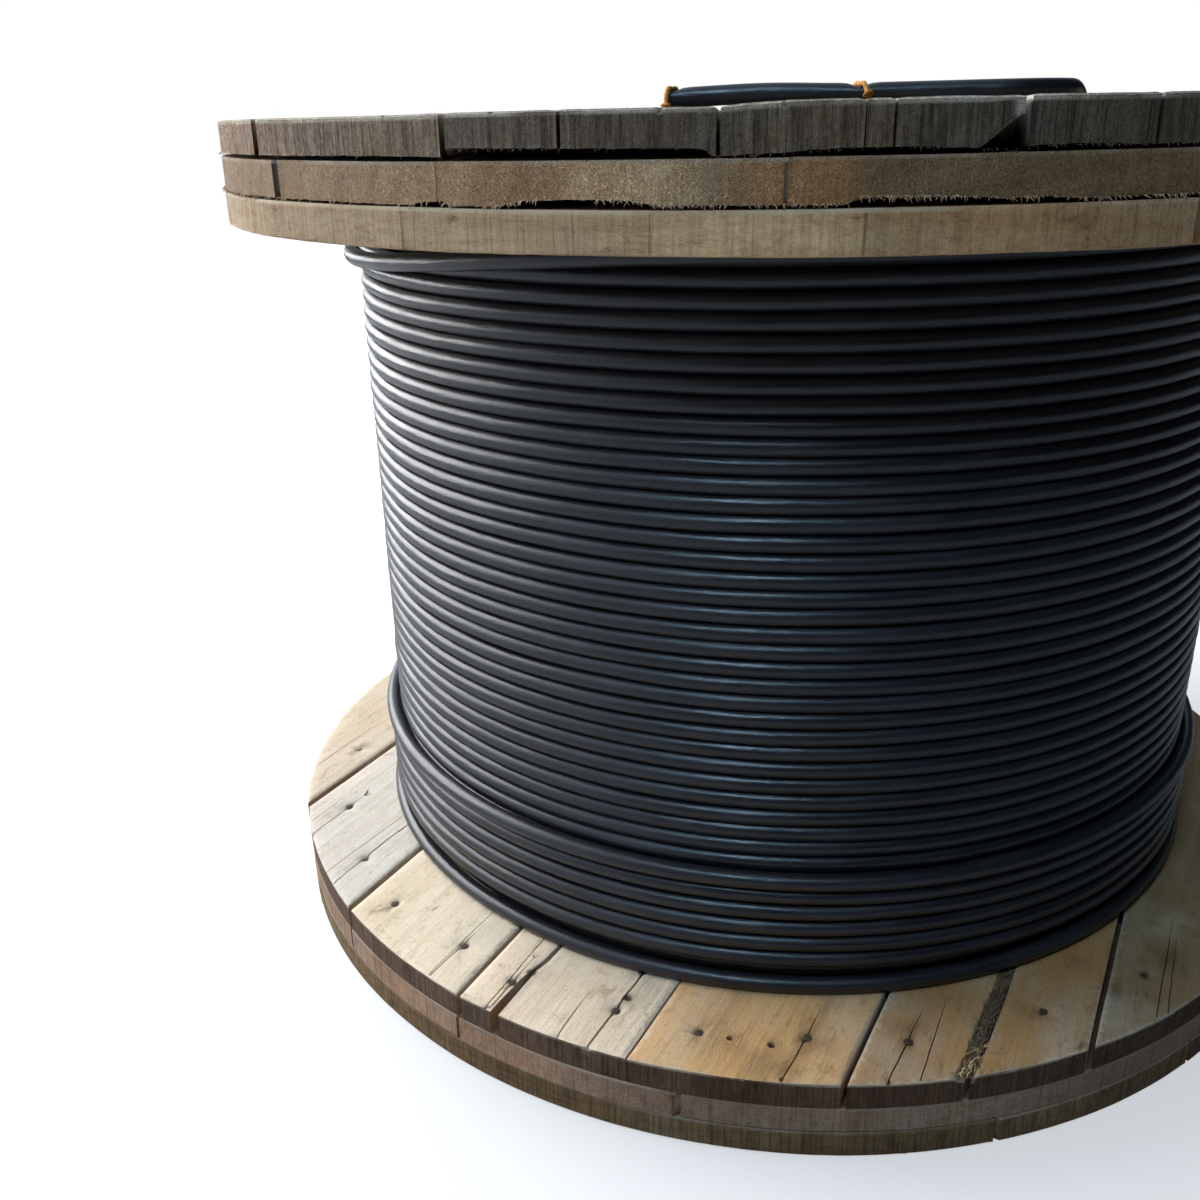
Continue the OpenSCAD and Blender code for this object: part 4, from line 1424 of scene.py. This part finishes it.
def build_fibres(material):
    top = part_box("upper_outer_boards")
    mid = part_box("upper_middle_boards")
    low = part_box("lower_inner_boards")
    hairs = [(-125, 0.3), (-113.4, 0.3), (-113.2, 0.5), (-95, 0.6), (-84, 0.6), (-82, 1.2), (0, 1.0)]
    fringe = [(-125, 0.3), (-114, 0.3), (-113.5, 1.6), (-106, 1.6), (-104, 0.8), (-100, 0.9),
              (-98, 1.5), (-91, 1.0), (-86, 0.4), (-84, 1.5), (-70, 1.3), (0, 0.8)]
    splinters("fibres_upper_outer",
              rim_fibres("upper_outer_boards", top[0].z + 0.0003, True, 3600, 0.0030, 0.0003, hairs),
              material, (0.15, 0.12, 0.085))
    splinters("fibres_upper_middle",
              rim_fibres("upper_middle_boards", mid[0].z + 0.0008, True, 8000, 0.0052, 0.00055, fringe),
              material, (0.50, 0.38, 0.26))
    splinters("fibres_lower_inner",
              rim_fibres("lower_inner_boards", low[1].z - 0.0016, False, 700, 0.0025, 0.0003, [(0, 1.0)]),
              material, (0.55, 0.47, 0.36))
    bark, pale = strip_fibres()
    splinters("fibres_torn_strip", bark, material, (0.16, 0.13, 0.09))
    splinters("fibres_strip_end", pale, material, (0.58, 0.46, 0.27))


# ---------------------------------------------------------------- stage

def add_camera():
    """The camera stands where the photograph's did, as solved from the two flange rims."""
    data = bpy.data.cameras.new("camera")
    data.lens = 35.64
    data.sensor_width = 36.0
    cam = bpy.data.objects.new("camera", data)
    bpy.context.scene.collection.objects.link(cam)
    yaw, pitch, roll = -0.1584, 0.3853, -0.0239
    forward = Vector((math.sin(yaw) * math.cos(pitch), math.cos(yaw) * math.cos(pitch), -math.sin(pitch)))
    right = Vector((math.cos(yaw), -math.sin(yaw), 0.0))
    up = right.cross(forward)
    r2 = right * math.cos(roll) + up * math.sin(roll)
    u2 = up * math.cos(roll) - right * math.sin(roll)
    turn = Matrix((r2, u2, -forward)).transposed()
    cam.matrix_world = Matrix.Translation((0.0, -1.16984, 0.71543)) @ turn.to_4x4()
    bpy.context.scene.camera = cam


def area_light(name, place, target, size, power, colour=(1, 1, 1)):
    data = bpy.data.lights.new(name, "AREA")
    data.shape = "RECTANGLE"
    data.size, data.size_y = size
    data.energy = power
    data.color = colour
    obj = bpy.data.objects.new(name, data)
    bpy.context.scene.collection.objects.link(obj)
    obj.location = place
    look = Vector(target) - Vector(place)
    obj.rotation_euler = look.to_track_quat("-Z", "Y").to_euler()
    return obj


def add_world():
    """White behind the drum; dim light that is brighter on the left than on the right."""
    world = bpy.data.worlds.new("world")
    bpy.context.scene.world = world
    t = Tree("world", world)
    lit_side = Vector((-0.85, 0.35, 0.30)).normalized()
    where = t.node("TexCoord").outputs["Generated"]
    towards = t.node("VectorMath", {0: where, 1: lit_side}, operation="DOT_PRODUCT").outputs["Value"]
    shade = t.mix(t.span(towards, -0.15, 1.0), (0.012, 0.013, 0.016), (1.10, 1.30, 1.58))
    seen = t.node("LightPath").outputs["Is Camera Ray"]
    t.shader.inputs["Strength"].default_value = 1.0
    t.put(t.shader.inputs["Color"], t.mix(seen, shade, (1, 1, 1)))

def add_stage():
    """Pale floor, and soft light from the left and behind."""
    bpy.ops.mesh.primitive_plane_add(size=14, location=(0, 0, -0.0002))
    floor = bpy.context.object
    floor.name = "floor"
    t = Tree("floor")
    t.shader.inputs["Base Color"].default_value = (0.38, 0.38, 0.38, 1)
    t.shader.inputs["Roughness"].default_value = 0.9
    t.shader.inputs["Emission Color"].default_value = (1, 1, 1, 1)
    away = t.nodes.new("ShaderNodeVectorMath")
    away.operation = "LENGTH"
    t.put(away.inputs[0], t.position())
    seen = t.nodes.new("ShaderNodeLightPath").outputs["Is Camera Ray"]
    glow = t.math("MULTIPLY", seen, t.span(away.outputs["Value"], 0.5, 1.2, 0.5, 1.0))
    t.put(t.shader.inputs["Emission Strength"], glow)
    floor.data.materials.append(t.material)
    add_world()
    area_light("key", (-2.6, 0.9, 1.7), (0, -0.1, 0.35), (3.2, 2.4), 175, (1.0, 0.98, 0.95))
    area_light("cool_fill", (-0.35, -1.85, 2.4), (0, 0, 0.2), (0.7, 0.5), 26, (0.50, 0.76, 1.0))


# ---------------------------------------------------------------- assembly

def keep_cad(node, material):
    """A CAD node whose shape is right gets its material."""
    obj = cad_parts[node]
    obj.data.materials.clear()
    obj.data.materials.append(material)


def main():
    add_camera()
    black = sheath()
    rust = rusty("rusty_nail", (0.72, 0.31, 0.04), (0.24, 0.08, 0.018))
    old = rusty("old_nail", (0.075, 0.052, 0.036), (0.03, 0.02, 0.014))
    steel = plated()
    lying = build_cable(black)
    build_flanges()
    for number, (place, turn) in enumerate(NAILS, 1):
        clamp_nail(number, place, turn, lying, rust)
    nail_heads("lower_inner_boards", 1, old)
    nail_heads("upper_outer_boards", 1, old)
    nail_heads("lower_outer_boards", -1, old)
    nail_heads("upper_inner_boards", -1, old)
    build_fibres(wood("torn_fibres", 0.1, 0.2, 0.3))
    keep_cad("barrel_staves", plain_wood("stave_wood", (0.45, 0.32, 0.18)))
    for node in ("tie_rods", "tie_washers", "tie_nuts"):
        keep_cad(node, steel)
    add_stage()
    bpy.context.scene.view_settings.view_transform = "Standard"


main()
